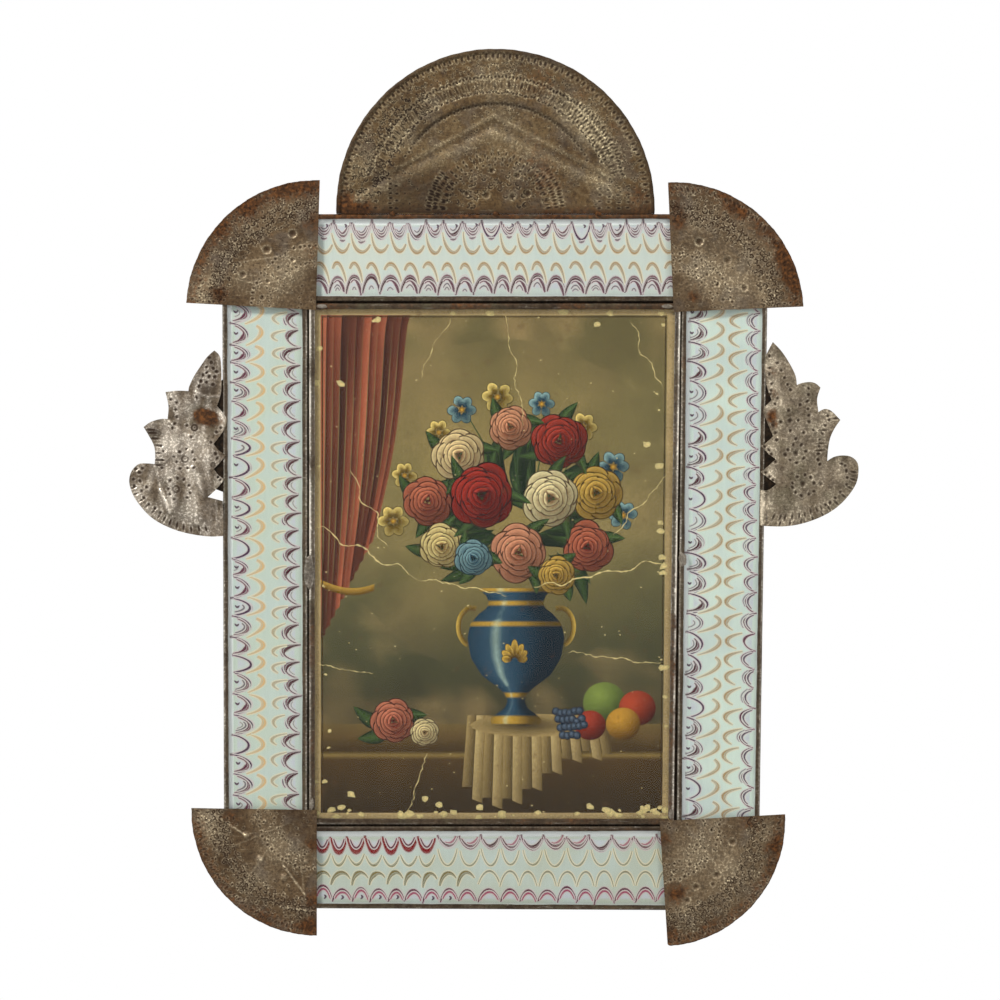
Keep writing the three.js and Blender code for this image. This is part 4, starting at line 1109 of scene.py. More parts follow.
class PressedTin:
    """Points of a tin surface in millimetres, with the height and the wear that tools and time left, and
    the painted shade and highlight laid with them.
    """

    def __init__(self, points, fine):
        self.x, self.z = points.T
        self.fine = fine
        self.height, self.marks, self.pit, self.rust, self.wear_and_highlight = np.zeros((5, len(points)))

    def wave(self, reach, tall, seed):
        scaled = np.column_stack([self.x / reach, self.z / reach])
        self.height += tall * np.array([noise.noise((x, seed, z)) for x, z in scaled])

    def polar(self, centre):
        dx, dz = self.x - centre[0], self.z - centre[1]
        return np.hypot(dx, dz), np.arctan2(dz, dx)

    def patch(self, layer, x, z, reach, strength):
        layer += strength * np.exp(-((self.x - x) ** 2 + (self.z - z) ** 2) / reach ** 2)

    def near(self, x, z, reach):
        found = np.nonzero((np.abs(self.x - x) < reach) & (np.abs(self.z - z) < reach))[0]
        return found, self.x[found] - x, self.z[found] - z

    def press(self, found, away, share, depth):
        """Depth at the heart of a mark, a lip thrown up round it that gets rubbed, and dirt inside."""
        lip = bell((away - 1.55) / 0.42)
        self.marks[found] += depth * share * (0.45 * lip - bell(away))
        filth = share * bell(away / 0.95) * min(1, abs(depth) / 0.26)
        self.pit[found] = np.maximum(self.pit[found], filth)
        self.wear_and_highlight[found] += 0.56 * share * lip * min(1, abs(depth) / 0.3)

    def punch(self, x, z, turn, wide, long, depth):
        """A blunt chisel or dot: wide across, long along its turn in radians."""
        if self.fine:
            found, dx, dz = self.near(x, z, 2.4 * max(wide, long))
            along = (dx * math.cos(turn) + dz * math.sin(turn)) / long
            across = (dz * math.cos(turn) - dx * math.sin(turn)) / wide
            self.press(found, np.hypot(along, across), 1, depth)

    def crescent(self, x, z, turn, radius, wide, depth, closed=0.0):
        """A gouge with a curved edge, open towards its turn, or a closed ring."""
        if self.fine:
            found, dx, dz = self.near(x, z, 2.4 * radius)
            away = (np.hypot(dx, dz) - radius) / wide
            facing = np.cos(np.arctan2(dz, dx) - turn)
            self.press(found, np.abs(away), np.clip((0.45 - facing) / 0.5 + closed, 0, 1), depth)

    def dimple(self, x, z, radius, depth):
        """A deep round blow that shows on both faces."""
        found, dx, dz = self.near(x, z, 2.5 * radius)
        away = np.hypot(dx, dz) / radius
        self.height[found] += depth * (0.14 * bell((away - 1.5) / 0.35) - bell(away, 2.4))
        if depth > 0:
            self.pit[found] += 0.75 * bell(away / 0.7)
            self.wear_and_highlight[found] += 0.5 * bell((away - 1.3) / 0.3)
        else:
            self.wear_and_highlight[found] += 0.7 * bell(away / 0.8)

    # A raised line; its top is rubbed bright and given a painted highlight
    def ridge(self, start, end, wide, tall, rub_and_highlight=0.0):
        side = np.array(end, float) - start
        offset = np.column_stack([self.x - start[0], self.z - start[1]])
        share = np.clip(offset @ side / (side @ side), 0, 1)
        away = np.hypot(*(offset - share[:, None] * side).T) / wide
        self.height += tall * bell(away)
        self.wear_and_highlight += rub_and_highlight * bell(away)

    def level(self):
        return self.height + np.clip(self.marks, -punch_limit, punch_limit)


def tin_piece(name, node_name, outline, shape, seed, material, spacing, front):
    """One cut sheet in the x-z plane; shape(sheet) presses its marks and paints its wear, its painted shade
    and its painted highlights.
    """
    rng = np.random.default_rng(seed)
    rim = spaced(np.array(outline), spacing)
    sides = []
    for gap, fine in ((spacing, True), (back_spacing, False)):
        inner = filled(rim, gap, rng)
        sheet = PressedTin(np.vstack([rim, inner]), fine)
        shape(sheet)
        sides.append((sheet, triangles(rim, inner)))
    (face, face_triangles), (back, back_triangles) = sides
    count, ring = len(face.x), len(rim)
    points = np.vstack([
        np.column_stack([face.x, front - face.level(), face.z]),
        np.column_stack([back.x, front + sheet_thickness - back.level(), back.z]),
    ])
    faces = face_triangles.tolist() + (back_triangles[:, ::-1] + count).tolist()
    faces += [(i, i + count, (i + 1) % ring + count, (i + 1) % ring) for i in range(ring)]
    layers = {layer: np.concatenate([getattr(face, layer), getattr(back, layer)])
              for layer in ("pit", "rust", "wear_and_highlight")}
    return finished(name, points, faces, material, layers, replaced=node_name)


def degrees_of_row(count, start, span):
    return [math.radians(start + span * (i + 0.5) / count) for i in range(count)]


# Brown tinplate with rust round its rim; each mark has a rubbed lip and dirt in its heart
corner_tin = browned_tinplate("punched_browned_tinplate", "#382817", "#58442d", "#776348", "#e6d3ae",
                              0.48, 0.46, 0.3, "#2d1b0a", "#5e5347")
# Each row: reach, pitch, tool, width, length or bow, depth, way it opens or slants
corner_work = {}
corner_work["top_left"] = {
    "centre": (-124.1, 177.8), "radius": 91, "start": 88.25, "span": 88.6, "way": 1, "scatter": 640,
    "blows": [(56, 107, 2.3), (54.5, 129, 2.2), (57, 154, 2.0), (38.9, 115, 1.5), (38.9, 132, 1.3),
              (39.4, 149, 1.4), (38.4, 167, 1.5)],
    "rows": [(33.1, 3.4, "dot", 0.62, 0.62, 0.3, 0), (45.2, 3.6, "dot", 0.72, 0.72, 0.36, 0),
             (67.4, 4.3, "gouge", 0.5, 1.25, 0.36, 3.1), (71.3, 4.6, "dot", 0.6, 0.7, 0.3, 0),
             (75.2, 4.2, "gouge", 0.5, 1.25, 0.36, 0), (83.6, 4.4, "bar", 0.5, 0.9, 0.3, 0.4)],
    "rust": [(-127, 239, 9, 0.6), (-191, 188, 8, 0.65), (-128, 262, 10, 0.35), (-148, 260, 9, 0.34),
             (-170, 248, 9, 0.34), (-190, 232, 8, 0.3), (-128, 219, 7, 0.4), (-155, 226, 6, 0.16)],
    "wear_and_highlight": [(-208, 187, 8, 0.75), (-203, 198, 7, 0.5), (-131, 221, 5, 0.5), (-150, 196, 14, 0.3),
             (-140, 206, 9, 0.4), (-176, 200, 9, 0.3)],
}
corner_work["top_right"] = {
    "centre": (126.35, 176.4), "radius": 91, "start": 2.4, "span": 90.1, "way": 1, "scatter": 620,
    "blows": [(52.5, 70, 2.2), (52.5, 44, 2.2), (52.5, 19, 2.0), (35.7, 83, 1.2), (35.7, 64, 1.4),
              (35.2, 48, 1.2), (36.2, 32, 1.4), (35.7, 14, 1.2)],
    "rows": [(28.7, 3.3, "dot", 0.62, 0.62, 0.3, 0), (41.3, 3.4, "dot", 0.7, 0.7, 0.36, 0),
             (67.2, 4.5, "gouge", 0.5, 1.3, 0.38, 3.1), (70.7, 4.5, "dot", 0.6, 0.6, 0.28, 0),
             (74.2, 4.5, "gouge", 0.5, 1.3, 0.38, 0), (86.5, 3.8, "bar", 0.55, 1.3, 0.36, 0.6)],
    "rust": [(129, 250, 9, 0.45), (130, 238, 7, 0.5), (208, 200, 9, 0.5), (203, 214, 8, 0.4),
             (140, 187, 5, 0.6), (168, 245, 9, 0.25), (186, 232, 8, 0.25)],
    "wear_and_highlight": [(165, 215, 40, 0.16), (150, 205, 12, 0.35), (172, 198, 10, 0.4), (142, 240, 8, 0.3),
             (190, 190, 7, 0.35)],
}
corner_work["bottom_right"] = {
    "centre": (116.55, -179.9), "radius": 88, "start": 272.9, "span": 90.2, "way": 1, "scatter": 560,
    "blows": [(53, 344, 2.1), (55, 317, 2.2), (58, 310, 1.5), (52.5, 299, 2.0), (58.8, 289, 1.9),
              (37, 350, 1.3), (37, 328, 1.3), (37, 305, 1.3), (37, 286, 1.3)],
    "rows": [(31.4, 3.4, "dot", 0.62, 0.62, 0.32, 0), (42.7, 3.4, "dot", 0.7, 0.7, 0.36, 0),
             (67.5, 4.6, "ring", 0.42, 1.3, 0.34, 0), (72.8, 4.8, "ring", 0.42, 1.2, 0.32, 0),
             (84, 3.6, "bar", 0.5, 1.1, 0.34, 0.3)],
    "rust": [(180, -180, 9, 0.55), (119, -193, 6, 0.6), (128, -230, 9, 0.6), (123, -255, 8, 0.4),
             (196, -196, 7, 0.25), (150, -250, 7, 0.22)],
    "wear_and_highlight": [(158, -216, 40, 0.2), (140, -200, 13, 0.35), (165, -212, 10, 0.4), (190, -188, 7, 0.35),
             (135, -243, 8, 0.3)],
}
corner_work["bottom_left"] = {
    "centre": (-123.4, -172.2), "radius": 88, "start": 179.1, "span": 90.9, "way": -1, "scatter": 560,
    "blows": [(52.5, 200, 2.3), (52.5, 221, 2.3), (52.5, 244, 2.3), (37, 192, 1.3), (37, 214, 1.3),
              (37, 238, 1.3), (37, 258, 1.3)],
    "rows": [(30, 3.4, "dot", 0.62, 0.62, 0.3, 0), (41.7, 3.4, "dot", 0.72, 0.72, 0.36, 0),
             (67.2, 4.4, "gouge", 0.5, 1.25, 0.36, 3.1), (72.8, 4.4, "gouge", 0.5, 1.25, 0.36, 0),
             (83.5, 3.8, "bar", 0.5, 1.1, 0.34, -0.4)],
    "rust": [(-184, -177, 8, 0.6), (-126, -196, 7, 0.6), (-126, -235, 8, 0.6), (-128, -252, 8, 0.4),
             (-160, -244, 8, 0.25)],
    "wear_and_highlight": [(-202, -180, 8, 0.8), (-195, -190, 8, 0.4), (-150, -200, 13, 0.35), (-168, -222, 9, 0.4)],
    "creases": [((-194.7, -175.7), (-173.7, -189.7)), ((-147, -210.7), (-131.7, -231.7)),
                ((-149.2, -240), (-122.6, -243.6))],
}


def corner_marks(work, seed):
    centre, radius, start, span, way = (work[key] for key in ("centre", "radius", "start", "span", "way"))

    def shape(sheet):
        rng = np.random.default_rng(seed)
        r, _ = sheet.polar(centre)

        def at(reach, turn):
            return centre[0] + reach * math.cos(turn), centre[1] + reach * math.sin(turn)

        for reach, pitch, tool, wide, long, depth, slant in work["rows"]:
            for turn in degrees_of_row(int(math.radians(span) * reach / pitch), start, span):
                if rng.random() < missed_blows:
                    continue
                place = at(reach + rng.normal(0, 0.45), turn + rng.normal(0, 0.4) / reach)
                blow = way * (depth + rng.normal(0, 0.06))
                grown_by = rng.uniform(0.8, 1.3)
                if tool in ("dot", "bar"):
                    lie = turn + slant + rng.normal(0, 0.2)
                    wide_blow, long_blow = row_size * wide * grown_by, row_size * long * grown_by
                    sheet.punch(*place, lie, wide_blow, long_blow, row_force * blow)
                elif tool == "gouge":
                    sheet.crescent(*place, turn + slant + rng.normal(0, 0.5), long * grown_by, wide, blow)
                else:
                    sheet.crescent(*place, 0, long, wide, blow, closed=1)
                    sheet.punch(*place, 0, 0.4, 0.4, blow)
        for _ in range(work["scatter"]):
            zone = rng.choice(4, p=(0.58, 0.25, 0.12, 0.05))
            low, high = ((62, 78), (78, radius - 1.5), (28, 47), (5, 62))[zone]
            place = at(rng.uniform(low, high), math.radians(start + rng.uniform(1, span - 1)))
            turn, grown_by = rng.uniform(0, 3.1), rng.uniform(0.75, 1.35)
            if rng.random() < 0.3 and zone == 0:
                sheet.crescent(*place, 2 * turn, 0.95 * grown_by, 0.4, way * 0.26)
            else:
                sheet.punch(*place, turn, 0.46 * grown_by, 0.7 * grown_by, way * rng.uniform(0.14, 0.36))
        for reach, turn, wide in work["blows"]:
            sheet.dimple(*at(reach, math.radians(turn)), wide, way * 0.62 * wide)
        for low, high, tall in ((63.5, 78.5, 0.5), (35, 47, 0.25), (26, 32, 0.2)):
            middle, half = (low + high) / 2, (high - low) / 2
            sheet.height += tall * bell((r - middle) / half, 4)
        sheet.height += 0.35 * bell((r - radius + 0.7) / 0.55)
        # Creases stand up with a painted highlight along their tops
        for first, second in work.get("creases", []):
            sheet.ridge(first, second, 0.6, 0.5, 1.0)
        sheet.wave(26, 0.8, seed)
        sheet.wave(9, 0.3, seed + 5)
        sheet.wave(3.2, 0.08, seed + 8)
        # Faint raised lines, each with a little painted highlight on top
        for _ in range(4):
            first, second = (at(radius * rng.uniform(0.2, 0.9),
                                math.radians(start + rng.uniform(4, span - 4)))
                             for _ in range(2))
            sheet.ridge(first, second, 0.6, 0.15, 0.3)
        # A painted shade line along the rim, and a little more dirt over the gouged band
        sheet.pit += 0.6 * bell((r - radius + 0.2) / 0.4) + 0.1 * bell((r - 70.5) / 7, 4)
        sheet.pit += 0.16 * bell((r - 13) / 13, 4)
        sheet.wear_and_highlight += 0.12 * bell((r - 37) / 9, 4)
        sheet.rust += 0.46 * np.clip((r / radius - 0.84) / 0.1, 0, 1)
        for x, z, reach, strength in work["rust"]:
            sheet.patch(sheet.rust, x, z, reach, strength)
            sheet.patch(sheet.pit, x, z, 0.6 * reach, 0.25 * strength)
        for spot in work["wear_and_highlight"]:
            sheet.patch(sheet.wear_and_highlight, *spot)
    return shape


corner_front = -7.6 - sheet_thickness
for seed, (name, work) in enumerate(corner_work.items(), 11):
    turns = np.radians(work["start"] + work["span"] * np.linspace(0, 1, 220))
    ripple = 0.08 * np.sin(turns * 23 + seed) + 0.08 * np.sin(turns * 57) + 0.05 * np.sin(turns * 131)
    reach = work["radius"] + ripple - 0.15
    arc = np.column_stack([np.cos(turns), np.sin(turns)]) * reach[:, None] + work["centre"]
    if name == "bottom_right":
        away = np.hypot(*(arc - arc[0]).T)
        arc += np.array((1.1, 1.6)) * np.clip(1 - away / 4, 0, 1)[:, None] ** 2
    outline = np.vstack([work["centre"], arc])
    marks = corner_marks(work, seed)
    tin_piece(f"punched_corner_{name}", f"corner_{name}", outline, marks, seed, corner_tin, corner_spacing,
              corner_front)

# Crest: a round-topped sheet with a rolled rim, rows of chisel and gouge marks, two soft folds that meet
# in a chevron, and a half rosette over the middle of its foot. The foot is bent back and soldered to
# the top edge of the upper panel.
crest_centre = (1.6, 245.3)
crest_radius = 111.6
crest_rise = 4
crest_spacing = 0.62
crest_face = -7.3
# The sheet of the crest has kept an olive cast under its brown
crest_tin = browned_tinplate("olive_browned_tinplate", "#33220f", "#5b4529", "#7a6747", "#dccaa2",
                             0.5, 0.54, 0.28, "#22150a", "#5f5345")


def slab(name, outline, front, rear, material):
    """A plain strip of sheet or filling with a flat front and rear."""
    points = [(x, y, z) for y in (front, rear) for x, z in outline]
    count = len(outline)
    faces = [tuple(range(count)), tuple(range(2 * count - 1, count - 1, -1))]
    faces += [(i, i + count, (i + 1) % count + count, (i + 1) % count) for i in range(count)]
    return finished(name, points, faces, material)


def upright_box(left, right, foot, top):
    return [(left, foot), (right, foot), (right, top), (left, top)]


def crest_marks(sheet):
    rng = np.random.default_rng(31)
    hub, middle = crest_centre, (crest_centre[0], crest_centre[1] + crest_rise)
    r, turn_of = sheet.polar(middle)
    up = np.degrees(turn_of)

    def at(reach, turn, centre=middle):
        return centre[0] + reach * math.cos(turn), centre[1] + reach * math.sin(turn)

    def ring(reach, pitch, mark, low=1.0, high=179.0, centre=middle):
        for turn in degrees_of_row(int(math.radians(high - low) * reach / pitch), low, high - low):
            mark(reach + rng.normal(0, 0.35), turn + rng.normal(0, 0.3) / reach, centre)

    def dash(wide, long, depth, slant=0.0):
        def mark(reach, turn, centre):
            sheet.punch(*at(reach, turn, centre), turn + slant + rng.normal(0, 0.14),
                        wide * rng.uniform(0.85, 1.2), long * rng.uniform(0.8, 1.2),
                        depth + rng.normal(0, 0.05))
        return mark

    def bowed(open_way, bow, depth):
        def mark(reach, turn, centre):
            sheet.crescent(*at(reach, turn, centre), turn + open_way + rng.normal(0, 0.3), bow, 0.46, depth)
        return mark

    # The rim's dashes, the zigzag, the standing bars and the row of small gouges under them
    ring(106.3, 4.2, dash(0.85, 1.5, 0.46))
    for low, high, depth in ((58, 122, 0.38), (14, 57, 0.22), (123, 166, 0.22)):
        blows = int(math.radians(high - low) * 92 / 2.45)
        for k, turn in enumerate(degrees_of_row(blows, low, high - low)):
            hand = 1 if k % 2 else -1
            sheet.punch(*at(91.8 + rng.normal(0, 0.3), turn), turn + hand * 0.7 + rng.normal(0, 0.12), 0.75,
                        1.5, depth * 1.2)
    ring(86.5, 4.6, dash(0.8, 2.8, -0.2), 15, 165)
    ring(86.5, 4.6, dash(0.5, 2.2, 0.1), 16.4, 166.4)
    ring(81.5, 4.2, bowed(0, 0.8, 0.5), 22, 158)
    ring(81.2, 4.2, dash(0.8, 0.8, 0.4), 22, 158)
    fade = np.clip((up - 28) / 18, 0, 1) * np.clip((146 - up) / 12, 0, 1)
    sheet.height += (0.35 + 0.55 * fade) * bell((r - 77) / 4.2, 4)
    sheet.height -= (0.15 + 0.5 * fade) * bell((r - 72.6) / 1.5)
    sheet.pit += 0.7 * fade * bell((r - 73) / 1.5)
    left_flank = np.clip((up - 118) / 10, 0, 1) * np.clip((150 - up) / 10, 0, 1)
    sheet.pit += 0.3 * left_flank * bell((r - 79) / 3)
    ring(72.5, 3.8, dash(0.75, 0.85, 0.38), 26, 152)
    for low, high, count, depth in ((93, 105, 420, 0.28), (82, 93, 260, 0.26), (48, 71, 110, 0.26),
                                    (14, 46, 160, 0.24)):
        for _ in range(count):
            turn = rng.uniform(0.03, math.pi - 0.03)
            sheet.punch(*at(rng.uniform(low, high), turn), rng.uniform(0, 3), 0.42, rng.uniform(0.5, 0.8),
                        depth)

    # A ladder of heavy bars on the right flank and loose gouges on the left
    for reach in (83.5, 88.5, 93.5):
        ring(reach, 5.0, dash(0.95, 1.9, -0.36), 22, 52)
        ring(reach, 5.0, dash(0.7, 1.7, 0.36), 23.6, 53.6)
    for _ in range(150):
        x, z = at(rng.uniform(78, 104), math.radians(rng.uniform(120, 174)))
        sheet.crescent(x, z, rng.uniform(0, 6), rng.uniform(0.9, 1.5), 0.42, 0.28)

    # The chevron: two broad folds pressed over an edge, with a painted highlight on top and painted shade
    # along the valley above
    apex = (crest_centre[0] - 1, crest_centre[1] + 59)
    for hand in (-1, 1):
        foot = (crest_centre[0] + hand * 103, crest_centre[1] + 9)
        sheet.ridge((apex[0], apex[1] - 3), (foot[0], foot[1] - 3), 4.4, 0.75, 0.3)
        sheet.ridge((apex[0], apex[1] + 3.5), (foot[0], foot[1] + 3.5), 3.0, -0.6)
        sheet.ridge((apex[0], apex[1] + 9.5), (foot[0] - hand * 22, foot[1] + 16), 1.6, 0.3, 0.35)
        sheet.ridge((apex[0], apex[1] - 12.5), (foot[0] - hand * 22, foot[1] - 7), 1.4, 0.25, 0.08)
        away = np.array((foot[0] - apex[0], foot[1] - apex[1]))
        away = away / math.hypot(*away)
        beside = (sheet.x - apex[0]) * away[1] - (sheet.z - apex[1] - 4) * away[0]
        on_this_fold = (np.sign(sheet.x - apex[0]) == hand) * (sheet.z > hub[1] + 12)
        sheet.pit += 0.2 * bell(beside / 2.2) * on_this_fold

    # The half rosette: dashes, dots, rungs on both flanks and deep blows inside
    ring(41.8, 4.9, dash(0.6, 1.3, 0.38), 40, 140, hub)
    ring(38.6, 4.9, dash(0.62, 1.3, 0.38), 40, 140, hub)
    ring(34.3, 4.4, dash(0.8, 0.8, 0.38), 12, 168, hub)
    ring(30.4, 4.8, dash(0.6, 0.6, 0.28), 20, 160, hub)
    for low, high in ((4, 40), (140, 176)):
        for reach in (37, 42.5, 47):
            ring(reach, 4.2, dash(0.75, 1.7, -0.3), low, high, hub)
            ring(reach, 4.2, dash(0.6, 1.6, 0.34), low + 2.6, high + 2.6, hub)
    for x, z, wide in ((-6.5, 13, 2.1), (11.8, 11.9, 2.0), (22.6, 14, 2.1), (-2.5, 30.4, 1.7),
                       (15.2, 26.8, 1.9), (-20, 14, 1.5)):
        sheet.dimple(hub[0] + x, hub[1] + z, wide, 1.25)
    for reach, count in ((17, 8), (22, 10), (26, 9)):
        for turn in degrees_of_row(count, 8, 164):
            sheet.crescent(*at(reach + rng.normal(0, 1.2), turn, hub), turn + rng.normal(0, 0.8), 1.3, 0.48,
                           0.32)
    for x, height, count in ((-73.6, 24, 7), (-68.9, 20, 4), (-17, 22, 6), (73, 26, 6), (79.5, 24, 6),
                             (86, 18, 4), (-96, 14, 3), (-90, 18, 4), (-84, 16, 3), (93, 14, 3)):
        for i in range(count):
            z = hub[1] + 4 + height * i / count
            sheet.punch(hub[0] + x + rng.normal(0, 0.3), z + rng.normal(0, 0.3), 0, 0.6, 1.15, 0.34)

    # The rolled rim, bent by handling and given painted shade, then the rust and the rubbing
    inside = np.clip((r - crest_radius + 3.4) / 1.1, 0, 1)
    turned_in = np.clip(r - crest_radius + 1.2, 0, 1.2)
    sheet.height += 0.95 * np.sin(inside * math.pi / 2) - 1.1 * turned_in ** 2
    sheet.height -= 0.3 * bell((r - crest_radius + 3.9) / 0.7)
    # Painted shade along the rolled rim and in a line just inside it
    on_rim = np.clip((r - crest_radius + 3.2) / 0.8, 0, 1)
    sheet.pit += 0.5 * on_rim + 0.3 * bell((r - crest_radius + 3.6) / 0.7)
    sheet.wave(34, 1.1, 3.1)
    sheet.wave(11, 0.35, 8.7)
    sheet.wave(3.5, 0.08, 5.2)
    base = np.clip(1 - (sheet.z - hub[1]) / 10, 0, 1)
    sheet.rust += 0.4 * base ** 1.5
    sheet.pit += 0.6 * base ** 2
    spots = (
        (sheet.rust, ((-106, 8, 9, 0.5), (-92, 3, 8, 0.32), (-60, 22, 12, 0.2), (28, 90, 16, 0.3),
                      (-38, 88, 13, 0.16), (60, 82, 12, 0.26), (-34, 20, 12, 0.3), (36, 22, 14, 0.38),
                      (82, 60, 10, 0.22), (102, 12, 10, 0.45), (22, 38, 16, 0.2), (70, 34, 12, 0.2))),
        (sheet.pit, ((-68, 15, 20, 0.5), (-42, 12, 15, 0.45), (-30, 20, 12, 0.2), (90, 8, 9, 0.25),
                     (-62, 76, 12, 0.3), (-76, 56, 11, 0.2), (48, 88, 9, 0.25), (26, 16, 10, 0.2),
                     (96, 34, 8, 0.2))),
        (sheet.wear_and_highlight, ((5, 70, 18, 0.2), (55, 72, 13, 0.5), (66, 58, 10, 0.6), (-45, 62, 16, 0.15),
                      (74, 26, 9, 0.4), (-66, 52, 10, 0.4), (0, 96, 14, 0.25), (-94, 32, 8, 0.4),
                      (20, 44, 12, 0.2))),
    )
    for layer, places in spots:
        for x, z, wide, strength in places:
            sheet.patch(layer, hub[0] + x, hub[1] + z, wide, strength)


turns = np.linspace(0, math.pi, 360)
reach = crest_rise * np.sin(turns) + np.sqrt(crest_radius ** 2 - (crest_rise * np.cos(turns)) ** 2)
reach = reach - 0.15 + 0.1 * np.sin(turns * 31) + 0.08 * np.sin(turns * 83)
outline = np.column_stack([np.cos(turns), np.sin(turns)]) * reach[:, None] + crest_centre
tin_piece("punched_crest", "crest", outline, crest_marks, 31, crest_tin, crest_spacing, crest_face)
foot_half = 105.5
foot_outline = upright_box(crest_centre[0] - foot_half, crest_centre[0] + foot_half, crest_centre[1],
                           crest_centre[1] + sheet_thickness)
slab("crest_foot", foot_outline, -6.8, -3.7, crest_tin)

# Wings: a leafy shape cut with shears for each side, its inner edge notched into teeth, dotted, ringed
# and creased from the front, then soldered along the side of the frame. They were rubbed bright, and their
# folds carry a painted highlight.
wing_spacing = 0.5
wing_front = depths_of("wing_left")[0]
# Tin with its grey metal rubbed bright on the left wing, and duller on the right one
wing_tin = browned_tinplate("bright_rubbed_tinplate", "#3b2f22", "#6e5f4d", "#94856f", "#fff3e0",
                            0.34, 0.3, 0.55, "#33261a")
matt_wing_tin = browned_tinplate("matt_rubbed_tinplate", "#42372a", "#6c5e4c", "#85775f", "#e2d3b8",
                                 0.42, 0.3, 0.45, "#33261a")
# Smooth runs from corner to corner, each point a step out from the panel's edge and a height
wing_runs = {
    "left": [
        [(5.6, 149.5), (10.6, 145), (14.7, 139.3), (19.5, 132), (23.1, 124.6), (23.8, 121.1)],
        [(31.5, 121.3), (39.9, 120.4)], [(38.5, 114.8), (37.8, 109.2), (38.5, 101.5)],
        [(43.4, 101.5), (50.4, 99.4), (55.3, 95.9)], [(51.1, 88.9), (48, 82.6), (47.2, 76.3), (47.6, 70)],
        [(52.5, 70.4), (58.8, 70), (63.7, 65.1), (65.5, 58.1), (63.4, 49.7), (58.8, 42), (50.4, 32.9),
         (39.2, 26.2), (25.9, 21.7), (10.5, 19.3), (-0.3, 19.6)],
        [(-0.5, 32), (0, 44.1)], [(10.5, 46.9)], [(4.5, 52.4), (-1.4, 59.5)], [(2.8, 62), (6.3, 66.5)],
        [(1.4, 71.6), (-2.1, 76.3)], [(2.8, 79.6), (6.3, 84)],
        [(0.6, 91.5), (-2.4, 97.5), (-2.1, 103.3), (3.9, 110.6)],
        [(1.2, 119), (0.7, 128.1), (1.4, 144.2), (5.6, 149.5)],
    ],
    "right": [
        [(4.1, 155.4), (10.2, 149.1), (16.1, 140.4), (20.3, 132), (21.4, 125.3)],
        [(24.9, 126.7), (30.5, 127.4), (34.7, 126.3), (37.9, 123.5)],
        [(36.1, 117.6), (35.8, 113.4), (36.8, 106.4)], [(41, 108.5), (45.9, 107.1), (52.2, 100.8)],
        [(48, 94.5), (45.2, 87.9), (44, 80.5), (43.5, 72.1)],
        [(48, 74.9), (53.6, 76), (59.9, 75.2), (64.4, 71.4), (65.5, 65.4), (64.1, 56.7), (58.5, 47.6),
         (50.1, 39.2), (38.9, 32.6), (25.6, 28), (13.3, 26.3), (0.4, 26.6), (-3, 27.3)],
        [(-3.2, 51.8)], [(2.5, 51.8), (8.1, 56)], [(3, 59.6), (-3.2, 64.4)], [(1.8, 68.2), (7.4, 73.5)],
        [(2.2, 77.2), (-2.9, 82.6)], [(1.4, 85.6), (5.3, 89.6)],
        [(0.4, 100.8), (-1.8, 107.8), (3.9, 114.8)],
        [(0.4, 124.6), (-1.1, 135.8), (-1.1, 144.2), (4.1, 155.4)],
    ],
}
wing_foot = {"left": 19.4, "right": 25.9}
stray_marks = 160
